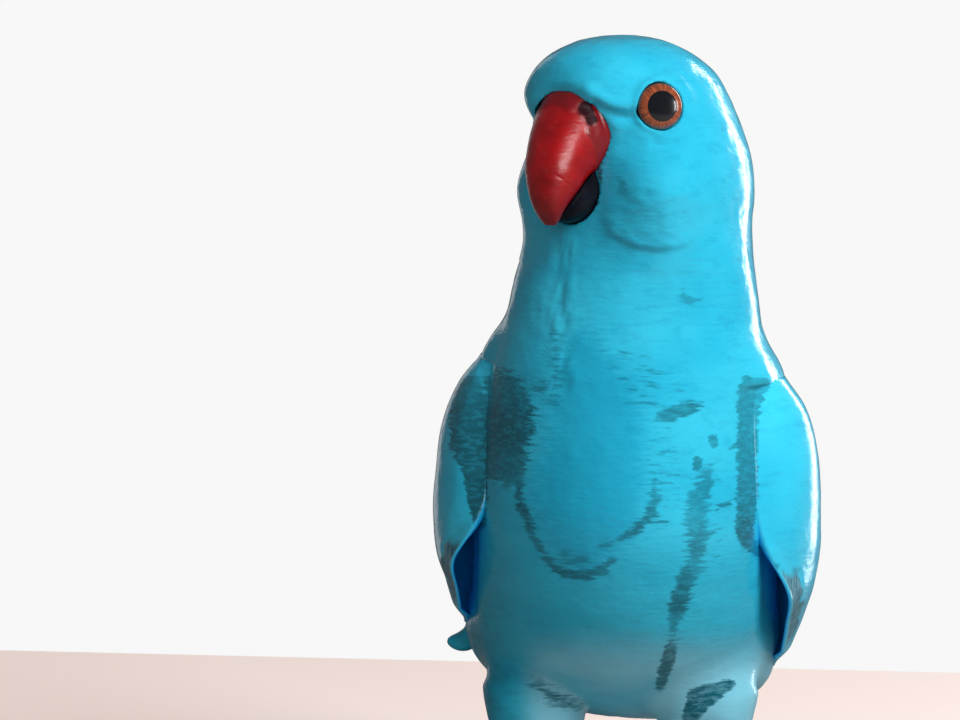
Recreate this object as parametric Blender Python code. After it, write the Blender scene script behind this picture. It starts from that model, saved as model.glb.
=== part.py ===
"""Parrot figurine: a ring-necked parakeet cast in resin, head turned to its right, on a low oval base.

The bird is one casting with its tail, legs and feet. Its wings are thin shells fixed to the flanks, and the
upper beak, the lower beak and the two glass eyes are set into the head. The origin is the centre of the
base's underside, the chest faces -Y and +Z is up.
"""

import math

import bmesh
import bpy
from mathutils import Matrix, Vector

MM = 0.001

# Driving dimensions.
FIGURE_HEIGHT = 160 * MM  # soles to crown
BASE_LENGTH = 96 * MM
BASE_WIDTH = 78 * MM
BASE_HEIGHT = 8 * MM
BASE_EDGE_RADIUS = 2.6 * MM
BASE_SETBACK = 3 * MM  # how far the feet stand ahead of the base's centre
EYE_DIAMETER = 9.4 * MM
EYE_DEPTH = 3.2 * MM  # rim and back of the glass behind its dome
EYE_DOME = 1.7 * MM
WING_SWELL = 7.9 * MM  # how far the folded wing stands off the flank
WING_WALL = 1.7 * MM
WING_EDGE = 1.0 * MM
SEAM = 0.3 * MM  # clearance between a piece and the seat cut for it

# The pose and the carving are drawn in 160ths of the figure's height.
UNIT = FIGURE_HEIGHT / 160
SOLE = BASE_HEIGHT + SEAM
HEAD_TURN = math.radians(38)
SHOULDER_ROLL = math.radians(3.4)

# Facets.
BODY_COLUMNS = 32
BODY_ROW = 5.6
HEAD_ROW = 3.4
HEAD_LEVEL = 116
EYE_FACETS = 16
BASE_FACETS = 36

COLOURS = {
    "blue": ((0.035, 0.46, 0.66), 0.2),
    "wing blue": ((0.03, 0.43, 0.64), 0.2),
    "red": ((0.50, 0.012, 0.016), 0.15),
    "black": ((0.008, 0.010, 0.016), 0.25),
    "eye": ((0.03, 0.012, 0.008), 0.05),
    "white": ((0.80, 0.80, 0.78), 0.4),
}

# Sections of the body from the tail tip to the crown: height of the centre above the soles, its place across
# and back, lean of the section, half width, reach to the front, reach to the back, share of the head's turn.
BODY_SECTIONS = (
    (7.0, 0.0, 113.0, 80, 0.9, 0.5, 0.5, 0),
    (7.2, 0.0, 111.0, 80, 3.4, 1.1, 1.1, 0),
    (8.2, 0.0, 104.0, 79, 5.6, 1.5, 1.5, 0),
    (10.8, 0.0, 90.0, 76, 8.0, 2.0, 2.0, 0),
    (14.8, 0.0, 74.0, 73, 10.2, 2.8, 2.9, 0),
    (19.0, 0.0, 60.0, 69, 12.8, 4.2, 4.4, 0),
    (22.6, 0.0, 48.0, 64, 16.4, 7.0, 7.6, 0),
    (26.0, -0.2, 36.5, 54, 22.0, 11.0, 13.0, 0),
    (30.2, -1.4, 26.0, 39, 30.0, 16.8, 18.5, 0),
    (35.6, -1.6, 18.0, 28, 32.2, 24.0, 23.0, 0),
    (42.6, -0.8, 12.2, 21, 32.4, 29.5, 25.4, 0),
    (50.0, 0.0, 8.4, 17, 32.0, 32.8, 27.0, 0),
    (58.5, 0.5, 4.6, 13, 31.8, 34.0, 28.0, 0),
    (68.0, 1.0, 1.5, 9, 31.2, 33.5, 28.5, 0),
    (80.0, 1.4, 0.0, 5, 30.0, 30.5, 29.0, 0),
    (92.2, 2.2, -0.5, 2, 28.4, 26.5, 27.0, 0),
    (93.6, 2.2, -0.5, 2, 28.2, 26.2, 26.8, 0),
    (102.0, 2.6, -0.8, 0, 25.9, 23.0, 25.0, 0.05),
    (110.0, 2.8, -1.0, 0, 24.6, 20.8, 24.4, 0.3),
    (117.0, 2.9, -1.0, 0, 23.2, 19.2, 24.8, 0.65),
    (123.0, 2.9, -1.0, 0, 22.2, 18.2, 25.0, 0.9),
    (129.0, 2.8, -1.0, 0, 22.2, 17.8, 25.6, 1),
    (135.0, 2.6, -1.0, 0, 21.6, 17.8, 25.4, 1),
    (141.0, 2.3, -1.0, 0, 20.0, 18.2, 24.0, 1),
    (147.0, 1.8, -1.0, 0, 18.4, 22.0, 21.6, 1),
    (152.0, 1.4, -1.3, 0, 16.4, 21.2, 18.7, 1),
    (156.0, 0.9, -1.7, 0, 12.8, 17.0, 14.0, 1),
    (158.6, 0.6, -2.0, 0, 8.0, 10.4, 8.2, 1),
    (159.8, 0.4, -2.2, 0, 3.0, 3.8, 3.2, 1),
)

# The mantle ends over the shoulders in a lip: where it starts, its edge, the wing's root under it, its rise,
# and the bearings between which it fades in at the front and out at the back.
MANTLE_TOP, MANTLE_EDGE, MANTLE_FOOT, MANTLE_LIP = 104, 93.6, 92.2, 2.3
MANTLE_FRONT = math.radians(50), math.radians(70)
MANTLE_BACK = math.radians(152), math.radians(118)

# The flank under each wing's free edge is scooped: heights and bearings between which it fades in and out.
SCOOP_DEPTH = 4.0
SCOOP_FOOT, SCOOP_TOP = (39, 47), (68, 58)
SCOOP_FRONT = math.radians(60), math.radians(70)
SCOOP_BACK = math.radians(140), math.radians(108)

# Rounded forms on the head: place across, ahead and up in the head's own frame, radius, rise.
HEAD_FORMS = (
    ((18, 12, 129), 10, 3.6),
    ((-18, 12, 129), 10, 3.6),
    ((10.5, 18.5, 148), 6, 1.1),
    ((-10.5, 18.5, 148), 6, 1.1),
    ((0, 21, 146.5), 6.5, -2.8),
    ((16, 12, 147), 6.5, -0.9),
    ((-16, 12, 147), 6.5, -0.9),
)

# The eye's centre in the head's frame, and how far it faces round from straight ahead and up.
EYE_PLACE = (16.5, 8.5, 146.0)
EYE_BEARING = math.radians(63)
EYE_RISE = math.radians(4)

# The upper beak from its root to its tip: the ridge and the cutting edge (ahead, up), and the half width.
BEAK_SECTIONS = (
    ((9.0, 147.6), (7.0, 132.4), 8.2),
    ((16.0, 150.6), (11.5, 133.0), 9.0),
    ((20.4, 150.2), (15.0, 133.2), 9.0),
    ((22.6, 146.8), (17.0, 132.2), 8.1),
    ((24.9, 141.2), (18.8, 130.4), 7.1),
    ((26.7, 135.4), (20.2, 128.6), 6.2),
    ((26.8, 130.4), (21.3, 126.8), 4.8),
    ((26.1, 126.4), (22.0, 125.2), 3.3),
    ((24.7, 123.9), (22.5, 123.7), 1.9),
    ((23.8, 122.7), (22.9, 122.9), 0.9),
)
# The lower beak from its root forwards: place ahead, top, bottom, half width.
LOWER_BEAK_SECTIONS = (
    (8.0, 136.0, 127.4, 6.6),
    (12.0, 136.4, 125.0, 7.8),
    (16.0, 135.0, 123.2, 7.6),
    (19.0, 132.0, 122.9, 6.2),
    (21.0, 129.0, 123.3, 4.2),
    (22.2, 126.8, 124.2, 2.0),
)

# The wing on the flank, from shoulder to tip: how far along, then height and bearing (degrees from the front)
# of its front edge and of its rear edge, how swollen it is, and how far its front edge stands off the body.
WING_LINES = (
    (0.00, 92.0, 60, 92.0, 116, 0.34, 0.00),
    (0.12, 86.5, 57, 88.0, 146, 0.74, 0.00),
    (0.30, 77.5, 57, 78.5, 163, 1.00, 0.00),
    (0.46, 67.0, 57, 68.0, 168, 1.00, 0.04),
    (0.56, 60.5, 58, 61.0, 170, 0.96, 0.40),
    (0.68, 54.0, 61, 54.0, 171, 0.82, 1.00),
    (0.80, 47.5, 65, 47.5, 171, 0.54, 1.00),
    (0.92, 41.5, 70, 41.5, 169, 0.24, 1.00),
    (1.00, 38.5, 77, 38.0, 164, 0.06, 1.00),
)
# The left wing sits a little further back, and its tip hangs lower.
LEFT_WING_TURN, LEFT_WING_DROP = 5, 5.5
WING_ROLL_REACH = 31
WING_ALONG, WING_ACROSS = 17, 8
# Swell across the wing from its front edge to its rear edge, lying flush and standing off.
SWELL_FLUSH = ((0, 0.0), (0.1, 0.52), (0.28, 1.0), (0.5, 0.86), (0.75, 0.52), (1, 0.16))
SWELL_LIFTED = ((0, 0.86), (0.1, 0.95), (0.28, 1.0), (0.5, 0.86), (0.75, 0.52), (1, 0.16))
HOLLOW_FROM, HOLLOW_FULL = 0.44, 0.60
HOLLOW_BACK, HOLLOW_END = 0.50, 0.85

# Flight feathers past the wing's end: root, bend and tip (out from the midline, back, up), half width,
# half thickness.
TUCKED_FEATHERS = (
    ((14, 34, 50), (12, 43, 37), (6, 65, 27), 5.0, 1.1),
    ((20.5, 30, 48), (18, 40, 35.5), (12.5, 57, 26.5), 4.8, 1.1),
)
FLARED_FEATHERS = (
    ((14.5, 34, 50), (12.5, 43, 37), (7.5, 62, 28), 5.0, 1.1),
    ((32.5, 22, 45), (31.2, 28, 31.2), (39.4, 27, 33.6), 2.4, 2.3),
)

# The leg from inside the belly to the ankle: height, place out and back, radius. Then the toes.
LEG_SECTIONS = (
    (40.0, 16.6, 4.0, 5.0),
    (36.0, 17.2, 2.0, 9.8),
    (30.0, 17.2, 0.0, 11.0),
    (24.0, 16.9, -1.6, 10.4),
    (18.4, 16.8, -1.4, 8.8),
    (14.3, 16.2, 0.6, 5.8),
    (11.5, 15.8, 2.4, 3.4),
    (8.8, 15.6, 3.2, 2.4),
    (5.5, 15.5, 4.0, 2.2),
    (2.6, 15.5, 4.4, 2.7),
    (0.9, 15.5, 4.4, 1.9),
)
# Two strands cross under each ankle, a front toe running on into the rear toe across from it: places of the two
# tips (out, back), and the girth. Then the radius from the ankle to the tip of a toe.
TOE_STRANDS = (
    ((11.5, -13.0), (20.5, 15.5), 1.0),
    ((19.5, -12.0), (11.0, 17.0), 1.07),
)
TOE_SHAPE = ((0.0, 2.3), (0.3, 2.0), (0.55, 2.1), (0.8, 1.6), (1.0, 0.7))


def lerp(start, end, share):
    """The value this share of the way from start to end."""
    return start + (end - start) * share


def ease(low, high, value):
    """A smooth step from 0 at low to 1 at high, which may be below low."""
    share = min(1.0, max(0.0, (value - low) / (high - low)))
    return share * share * (3 - 2 * share)


def smooth_rows(knots, rows, at):
    """The values at one place on a smooth curve through the rows, which stand at the knots."""
    last = len(knots) - 1
    at = min(knots[last], max(knots[0], at))
    i = min(last - 1, max(j for j in range(last + 1) if knots[j] <= at))
    before, after = max(0, i - 1), min(last, i + 2)
    span = knots[i + 1] - knots[i]
    share = (at - knots[i]) / span
    values = []
    for column in range(len(rows[0])):
        start, end = rows[i][column], rows[i + 1][column]
        leaving = (end - rows[before][column]) / (knots[i + 1] - knots[before]) * span
        arriving = (rows[after][column] - start) / (knots[after] - knots[i]) * span
        cube, square = share**3, share**2
        values.append(
            (2 * cube - 3 * square + 1) * start
            + (cube - 2 * square + share) * leaving
            + (3 * square - 2 * cube) * end
            + (cube - square) * arriving
        )
    return values


def curve_value(pairs, at):
    """The height at one place of a smooth curve through (place, height) pairs."""
    return smooth_rows([p[0] for p in pairs], [p[1:] for p in pairs], at)[0]


def head_point(across, ahead, up):
    """A point of the head's own frame, in the frame of the figurine."""
    turned = Matrix.Rotation(-HEAD_TURN, 3, "Z") @ Vector((across, -ahead, 0))
    neck = BODY_SECTIONS[-6]
    return Vector(
        (
            (turned.x + neck[1]) * UNIT,
            (turned.y + neck[2]) * UNIT,
            up * UNIT + SOLE,
        )
    )


def section_knots():
    """The distance of each body section from the tail tip, measured on the outline that they draw."""
    knots = [0.0]
    for a, b in zip(BODY_SECTIONS, BODY_SECTIONS[1:]):
        knots.append(knots[-1] + math.dist((a[0], a[2], a[4]), (b[0], b[2], b[4])))
    return knots


KNOTS = section_knots()


def skin(knot, bearing, grow=0.0, lipped=True):
    """A point of the bird's surface: bearing 0 is its front and a quarter turn its left side."""
    height, across, back, lean, half_width, front, rear, turn = smooth_rows(
        KNOTS, BODY_SECTIONS, knot
    )
    lean = math.radians(lean)
    level = 1 - turn
    sideways = Vector((math.cos(SHOULDER_ROLL * level), 0, -math.sin(SHOULDER_ROLL * level)))
    forwards = Vector((0, -math.cos(lean), -math.sin(lean)))
    spin = Matrix.Rotation(-HEAD_TURN * turn, 3, "Z")
    reach = front if math.cos(bearing) > 0 else rear
    lip = 0.0
    round_from_front = abs(math.remainder(bearing, math.tau))
    if lipped and SCOOP_FOOT[0] < height < SCOOP_TOP[0]:
        lip = -SCOOP_DEPTH * ease(*SCOOP_FOOT, height) * ease(*SCOOP_TOP, height)
        lip *= ease(*SCOOP_FRONT, round_from_front) * ease(*SCOOP_BACK, round_from_front)
    if lipped and MANTLE_FOOT < height < MANTLE_TOP:
        lip = MANTLE_LIP * ease(MANTLE_FOOT, MANTLE_EDGE, height)
        lip *= ease(MANTLE_TOP, MANTLE_EDGE, height)
        lip *= ease(*MANTLE_FRONT, round_from_front) * ease(*MANTLE_BACK, round_from_front)
    outline = (
        sideways * (half_width + lip) * math.sin(bearing)
        + forwards * (reach + lip) * math.cos(bearing)
    )
    outline = spin @ outline
    point = Vector((across, back, height)) + outline
    rise = grow / UNIT
    if turn > 0.5:
        for place, radius, swell in HEAD_FORMS:
            centre = (head_point(*place) - Vector((0, 0, SOLE))) / UNIT
            rise += swell * math.exp(-(((point - centre).length / radius) ** 2) * 1.4)
    if outline.length > 0:
        point += outline.normalized() * rise
    return point * UNIT + Vector((0, 0, SOLE))


def flank(knot, bearing):
    """A point of the surface under the mantle's lip, and the direction straight out of it."""
    step = 0.02
    above, below = (skin(knot + rise, bearing, lipped=False) for rise in (1, -1))
    after, before = (skin(knot, bearing + turn, lipped=False) for turn in (step, -step))
    out = (after - before).cross(above - below).normalized()
    return skin(knot, bearing, lipped=False), out


def knot_at_level(level, bearing):
    """Where along the body its surface, at this bearing, is at this level with the shoulders' roll let off."""
    level += level_roll(bearing)
    low, high = KNOTS[6], KNOTS[-6]
    for _ in range(22):
        middle = (low + high) / 2
        if (skin(middle, bearing, lipped=False).z - SOLE) / UNIT < level:
            low = middle
        else:
            high = middle
    return low


def level_roll(bearing):
    """How much the shoulders' roll lifts the flank at this bearing."""
    return -WING_ROLL_REACH * math.sin(bearing) * math.sin(SHOULDER_ROLL)


def closed_grid(rings, name, flat_rings=False):
    """A closed mesh through rings of points, its ends closed by fans, or straight across flat rings."""
    mesh = bpy.data.meshes.new(name)
    shape = bmesh.new()
    loops = [[shape.verts.new(point) for point in ring] for ring in rings]
    count = len(loops[0])
    for lower, upper in zip(loops, loops[1:]):
        for i in range(count):
            j = (i + 1) % count
            shape.faces.new((lower[i], lower[j], upper[j], upper[i]))
    for loop in (loops[0], loops[-1]):
        if flat_rings:
            for i in range(count // 2 - 1):
                shape.faces.new((loop[i], loop[i + 1], loop[-2 - i], loop[-1 - i]))
            continue
        middle = sum((v.co for v in loop), Vector()) / count
        centre = shape.verts.new(middle)
        for i in range(count):
            shape.faces.new((centre, loop[i], loop[(i + 1) % count]))
    bmesh.ops.recalc_face_normals(shape, faces=shape.faces)
    shape.to_mesh(mesh)
    shape.free()
    mesh.shade_smooth()
    return mesh


def new_piece(name, mesh, colour):
    """Links a named piece with its own material."""
    piece = bpy.data.objects.new(name, mesh)
    bpy.context.scene.collection.objects.link(piece)
    material = bpy.data.materials.new(name)
    material.use_nodes = True
    shader = material.node_tree.nodes["Principled BSDF"]
    tint, roughness = COLOURS[colour]
    shader.inputs["Base Color"].default_value = (*tint, 1)
    shader.inputs["Roughness"].default_value = roughness
    material.diffuse_color = (*tint, 1)
    mesh.materials.append(material)
    return piece


def helper(name, mesh):
    """Links a mesh that only cuts or joins, and isn't a piece."""
    tool = bpy.data.objects.new(name, mesh)
    bpy.context.scene.collection.objects.link(tool)
    tool.hide_render = True
    tool.display_type = "WIRE"
    return tool


def combine(piece, tool, operation):
    """Joins the helper to the piece, or cuts the piece with it."""
    boolean = piece.modifiers.new(f"{operation.lower()} {tool.name}", "BOOLEAN")
    boolean.operation = operation
    boolean.solver = "EXACT"
    boolean.object = tool


def body_mesh(name, grow=0.0):
    """The bird's head, trunk and tail as one loft, grown by a clearance where it is used as a cutter."""
    rings = []
    for i in range(len(KNOTS) - 1):
        step = HEAD_ROW if BODY_SECTIONS[i][0] >= HEAD_LEVEL else BODY_ROW
        rows = max(1, round((KNOTS[i + 1] - KNOTS[i]) / step))
        for row in range(rows):
            rings.append(lerp(KNOTS[i], KNOTS[i + 1], row / rows))
    rings.append(KNOTS[-1])
    turns = [math.tau * column / BODY_COLUMNS for column in range(BODY_COLUMNS)]
    return closed_grid([[skin(knot, turn, grow) for turn in turns] for knot in rings], name)


def tube_ring(centre, direction, radius_across, radius_up, up, sides):
    """A ring of points square to a direction."""
    across = direction.cross(up).normalized()
    upright = across.cross(direction).normalized()
    ring = []
    for i in range(sides):
        turn = math.tau * (i + 0.5) / sides
        ring.append(
            centre
            + across * radius_across * math.cos(turn)
            + upright * radius_up * math.sin(turn)
        )
    return ring


def leg_mesh(side, grow=0.0):
    """The thigh and the shank of one leg, down to the sole."""
    sides, rows = 10, 2
    knots = list(range(len(LEG_SECTIONS)))
    rings = []
    for i in range(rows * knots[-1] + 1):
        height, out, back, radius = smooth_rows(knots, LEG_SECTIONS, i / rows)
        centre = Vector((side * out * UNIT, back * UNIT, height * UNIT + SOLE))
        radius = radius * UNIT + grow
        rings.append(tube_ring(centre, Vector((0, 0, 1)), radius, radius, Vector((0, 1, 0)), sides))
    return closed_grid(rings, f"leg {side}")


def toe_mesh(side, front, rear, girth):
    """A front toe and the rear toe that it runs on into, lying on the base."""
    ankle = LEG_SECTIONS[-1][1:3]
    stations = [(front, *station) for station in reversed(TOE_SHAPE)]
    stations += [(rear, *station) for station in TOE_SHAPE[1:]]
    direction = Vector((side * (rear[0] - front[0]), rear[1] - front[1], 0)).normalized()
    rings = []
    for tip, share, radius in stations:
        radius *= girth * UNIT
        centre = Vector(
            (
                side * lerp(ankle[0], tip[0], share) * UNIT,
                lerp(ankle[1], tip[1], share) * UNIT,
                radius + SOLE,
            )
        )
        rings.append(tube_ring(centre, direction, radius, radius, Vector((0, 0, 1)), 6))
    return closed_grid(rings, f"toes {side} {girth}")


def beak_mesh(name, grow=0.0):
    """The hooked upper beak as a loft of rounded sections, from its root in the head to its tip."""
    sides, rows = 14, 2
    knots = list(range(len(BEAK_SECTIONS)))
    flat = [(*ridge, *edge, half) for ridge, edge, half in BEAK_SECTIONS]
    rings = []
    count = rows * (len(knots) - 1)
    for i in range(count + 1):
        ridge_ahead, ridge_up, edge_ahead, edge_up, half = smooth_rows(knots, flat, i / rows)
        ridge, edge = Vector((ridge_ahead, ridge_up)), Vector((edge_ahead, edge_up))
        middle, spine = (ridge + edge) / 2, (ridge - edge) / 2
        spine += spine.normalized() * grow / UNIT
        if grow and i in (0, count):
            onward = Vector((spine.y, -spine.x)).normalized() * grow / UNIT
            middle += onward if i else -onward
        ring = []
        for j in range(sides):
            turn = math.tau * j / sides
            rise = math.cos(turn)
            flank = math.copysign(abs(math.sin(turn)) ** (0.5 if rise < 0 else 1.0), math.sin(turn))
            place = middle + spine * rise
            ring.append(head_point((half + grow / UNIT) * flank, place.x, place.y))
        rings.append(ring)
    return closed_grid(rings, name)


def lower_beak_mesh(name, grow=0.0):
    """The lower beak, a scoop under the upper one."""
    sides = 14
    rings = []
    for i, (ahead, top, bottom, half) in enumerate(LOWER_BEAK_SECTIONS):
        if grow and i in (0, len(LOWER_BEAK_SECTIONS) - 1):
            ahead += grow / UNIT if i else -grow / UNIT
        middle, rise = (top + bottom) / 2, (top - bottom) / 2 + grow / UNIT
        ring = []
        for j in range(sides):
            turn = math.tau * j / sides
            ring.append(
                head_point(
                    (half + grow / UNIT) * math.sin(turn), ahead, middle + rise * math.cos(turn)
                )
            )
        rings.append(ring)
    return closed_grid(rings, name)


def eye_mesh(name, side, grow=0.0, stand_out=0.0):
    """A glass eye: a domed disc, turned about the axis on which it looks out of the head."""
    radius = EYE_DIAMETER / 2 + grow
    across, ahead, up = EYE_PLACE
    centre = head_point(side * across, ahead, up)
    far = head_point(
        side * (across + math.sin(EYE_BEARING)),
        ahead + math.cos(EYE_BEARING),
        up + math.tan(EYE_RISE),
    )
    axis = (far - centre).normalized()
    steps = 4
    profile = [(radius, -EYE_DEPTH - grow), (radius, stand_out)]
    if not grow:
        for i in range(1, steps):
            turn = math.pi / 2 * i / steps
            profile.append((radius * math.cos(turn), EYE_DOME * math.sin(turn)))
    rings = [
        tube_ring(centre + axis * out, axis, r, r, Vector((0, 0, 1)), EYE_FACETS)
        for r, out in profile
    ]
    return closed_grid(rings, name)


def wing_mesh(side):
    """The shell of one folded wing, laid over the flank and run into it, ready to be cut to its seat."""
    knots = [line[0] for line in WING_LINES]
    rows = [line[1:] for line in WING_LINES]
    turn, fall = (LEFT_WING_TURN, LEFT_WING_DROP) if side > 0 else (0, 0)
    outer, inner = [], []
    for i in range(WING_ALONG + 1):
        along = i / WING_ALONG
        front_up, front_turn, rear_up, rear_turn, swell, lift = smooth_rows(knots, rows, along)
        outer_row, inner_row = [], []
        for j in range(WING_ACROSS + 1):
            across = j / WING_ACROSS
            bearing = side * math.radians(lerp(front_turn + turn, rear_turn, across))
            knot = knot_at_level(lerp(front_up, rear_up, across) - fall * along**2, bearing)
            flush = curve_value(SWELL_FLUSH, across)
            lifted = curve_value(SWELL_LIFTED, across)
            stand = WING_EDGE + (WING_SWELL - WING_EDGE) * swell * lerp(flush, lifted, lift)
            hollow = ease(HOLLOW_FROM, HOLLOW_FULL, along) * ease(HOLLOW_END, HOLLOW_BACK, across)
            wall = lerp(WING_EDGE, WING_WALL, ease(0, 0.3, across))
            root, out = flank(knot, bearing)
            outer_row.append(root + out * stand)
            inner_row.append(root + out * lerp(-WING_EDGE, stand - wall, hollow))
        outer.append(outer_row)
        inner.append(inner_row)
    rings = [top + bottom[::-1] for top, bottom in zip(outer, inner)]
    return closed_grid(rings, f"wing {side}", flat_rings=True)


def feather_mesh(side, root, middle, tip, half_width, half_thickness):
    """A flight feather: a flat blade with a rounded end, bent through three points."""
    sides, rows = 10, 9
    rings = []
    path = [Vector((side * p[0] * UNIT, p[1] * UNIT, p[2] * UNIT + SOLE)) for p in (root, middle, tip)]
    for i in range(rows + 1):
        share = i / rows
        inverse = 1 - share
        centre = path[0] * inverse**2 + path[1] * 2 * share * inverse + path[2] * share**2
        direction = (path[1] - path[0]) * inverse + (path[2] - path[1]) * share
        rounding = math.sqrt(1 - max(0.0, (share - 0.62) / 0.385) ** 2)
        outwards = Vector((centre.x, centre.y, 0)).normalized()
        rings.append(
            tube_ring(
                centre,
                direction.normalized(),
                half_width * UNIT * rounding,
                half_thickness * UNIT * (0.35 + 0.65 * rounding),
                outwards,
                sides,
            )
        )
    return closed_grid(rings, f"feather {side} {tip[0]}")


def base_mesh():
    """The oval base: a flat slab with a rounded upper edge and a narrow chamfer below."""
    chamfer = BASE_EDGE_RADIUS / 3
    profile = [(chamfer, 0.0), (0.0, chamfer)]
    steps = 4
    for i in range(steps + 1):
        turn = math.pi / 2 * i / steps
        inset = BASE_EDGE_RADIUS * (1 - math.cos(turn))
        profile.append((inset, BASE_HEIGHT - BASE_EDGE_RADIUS * (1 - math.sin(turn))))
    rings = []
    for inset, height in profile:
        ring = []
        for i in range(BASE_FACETS):
            turn = math.tau * i / BASE_FACETS
            ring.append(
                Vector(
                    (
                        (BASE_WIDTH / 2 - inset) * math.cos(turn),
                        (BASE_LENGTH / 2 - inset) * math.sin(turn) + BASE_SETBACK,
                        height,
                    )
                )
            )
        rings.append(ring)
    return closed_grid(rings, "base")


def clear_scene():
    for old in list(bpy.data.objects):
        bpy.data.objects.remove(old)


def build():
    clear_scene()
    body = new_piece("parrot_body", body_mesh("parrot_body"), "blue")
    for side in (1, -1):
        combine(body, helper(f"leg_{side}", leg_mesh(side)), "UNION")
        for number, strand in enumerate(TOE_STRANDS):
            combine(body, helper(f"toes_{side}_{number}", toe_mesh(side, *strand)), "UNION")
        socket = eye_mesh(f"socket_{side}", side, SEAM, EYE_DIAMETER)
        combine(body, helper(f"eye_socket_{side}", socket), "DIFFERENCE")
        eye = "left_eye" if side > 0 else "right_eye"
        new_piece(eye, eye_mesh(eye, side), "eye")
    beak_seat = helper("beak_seat", beak_mesh("beak_seat", SEAM))
    lower_seat = helper("lower_beak_seat", lower_beak_mesh("lower_beak_seat", SEAM))
    combine(body, beak_seat, "DIFFERENCE")
    combine(body, lower_seat, "DIFFERENCE")
    new_piece("upper_beak", beak_mesh("upper_beak"), "red")
    lower = new_piece("lower_beak", lower_beak_mesh("lower_beak"), "black")
    combine(lower, beak_seat, "DIFFERENCE")
    wing_seat = helper("wing_seat", body_mesh("wing_seat", SEAM))
    for side, feathers in ((1, TUCKED_FEATHERS), (-1, FLARED_FEATHERS)):
        name = "left_wing" if side > 0 else "right_wing"
        wing = new_piece(name, wing_mesh(side), "wing blue")
        for number, feather in enumerate(feathers):
            blade = helper(f"feather_{side}_{number}", feather_mesh(side, *feather))
            combine(wing, blade, "UNION")
        combine(wing, wing_seat, "DIFFERENCE")
        combine(wing, helper(f"thigh_seat_{side}", leg_mesh(side, SEAM)), "DIFFERENCE")
    new_piece("base", base_mesh(), "white")


build()
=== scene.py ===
"""The looks of the parrot figurine: glossy stained paint on cast resin, glass eyes and a plain oval base."""

import math

import bmesh
import bpy
import numpy as np
from mathutils import Matrix, Vector
from mathutils.bvhtree import BVHTree
from mathutils.kdtree import KDTree


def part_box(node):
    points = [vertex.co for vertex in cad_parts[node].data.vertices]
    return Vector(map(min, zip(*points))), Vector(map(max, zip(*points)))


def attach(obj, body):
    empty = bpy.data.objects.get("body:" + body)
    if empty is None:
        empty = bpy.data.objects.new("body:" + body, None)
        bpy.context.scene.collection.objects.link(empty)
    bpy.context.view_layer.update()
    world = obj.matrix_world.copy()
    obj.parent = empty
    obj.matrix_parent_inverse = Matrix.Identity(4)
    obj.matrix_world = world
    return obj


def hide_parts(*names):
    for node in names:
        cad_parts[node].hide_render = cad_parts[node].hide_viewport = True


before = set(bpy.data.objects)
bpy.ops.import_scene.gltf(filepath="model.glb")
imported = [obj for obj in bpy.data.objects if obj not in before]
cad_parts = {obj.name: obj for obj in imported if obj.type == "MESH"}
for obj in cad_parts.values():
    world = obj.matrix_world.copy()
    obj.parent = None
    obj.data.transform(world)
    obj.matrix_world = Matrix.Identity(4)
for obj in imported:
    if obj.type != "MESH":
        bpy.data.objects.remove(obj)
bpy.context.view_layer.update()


# Base: a low oval slab of off-white resin, cast flat below, with its upper edge rounded over by hand.
# It is below the photo's edge, so it is plain: a thin coat of paint with a few scuffs on the rim.
base_low, base_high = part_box("base")
BASE_EDGE_RADIUS = 0.0026
BASE_COLUMNS = 160
BASE_WAVINESS = 0.00018


def lerp(start, end, share):
    """The value this share of the way from start to end."""
    return start + (end - start) * share


def ease(low, high, value):
    """A smooth step from 0 at low to 1 at high, which may be below low."""
    share = np.clip((value - low) / (high - low), 0, 1)
    return share * share * (3 - 2 * share)


def bell(value, width):
    """1 where the value is 0, falling away over this width on both sides."""
    return np.exp(-((value / width) ** 2))


def turns_round(count, start=0.0):
    """Even turns round a circle, the first one this share of a step on."""
    return (np.arange(count) + start) * math.tau / count


def stacked(*values):
    """Coordinates brought to one shape, as points."""
    return np.stack(np.broadcast_arrays(*values), axis=-1)


def unit(vectors):
    """Vectors with their length made 1."""
    return vectors / np.linalg.norm(vectors, axis=-1, keepdims=True)


def soft_noise(points, size, seed):
    """Smooth noise from -1 to 1 whose lumps are this big."""
    side = 24
    lattice = np.random.default_rng(seed).uniform(-1, 1, (side, side, side))
    cell = np.floor(points / size).astype(int)
    part = points / size - cell
    part = part * part * (3 - 2 * part)
    total = np.zeros(points.shape[:-1])
    for corner in np.ndindex(2, 2, 2):
        weight = np.prod(np.where(corner, part, 1 - part), axis=-1)
        at = (cell + corner) % side
        total += weight * lattice[at[..., 0], at[..., 1], at[..., 2]]
    return total


def closed_mesh(points, faces, name):
    """A smooth closed mesh with its faces pointing out."""
    mesh = bpy.data.meshes.new(name)
    mesh.from_pydata(points.tolist(), [], faces)
    shape = bmesh.new()
    shape.from_mesh(mesh)
    if shape.calc_volume(signed=True) < 0:
        bmesh.ops.reverse_faces(shape, faces=shape.faces)
    shape.to_mesh(mesh)
    shape.free()
    mesh.shade_smooth()
    return mesh


def ring_faces(rows, columns):
    """The number of each point in rings of points, that of the next one round, and the faces between."""
    index = np.arange(rows * columns).reshape(rows, columns)
    onward = np.roll(index, -1, axis=1)
    quads = np.stack([index[:-1], onward[:-1], onward[1:], index[1:]], axis=-1)
    return index, onward, quads.reshape(-1, 4).tolist()


def loft(rings, name):
    """A closed mesh through rings of points, fanned shut at both ends."""
    index, onward, faces = ring_faces(*rings.shape[:2])
    points = np.concatenate([rings.reshape(-1, 3), rings[[0, -1]].mean(axis=1)])
    faces += [(index.size, b, a) for a, b in zip(index[0].tolist(), onward[0].tolist())]
    faces += [(index.size + 1, a, b) for a, b in zip(index[-1].tolist(), onward[-1].tolist())]
    return closed_mesh(points, faces, name)


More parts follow.
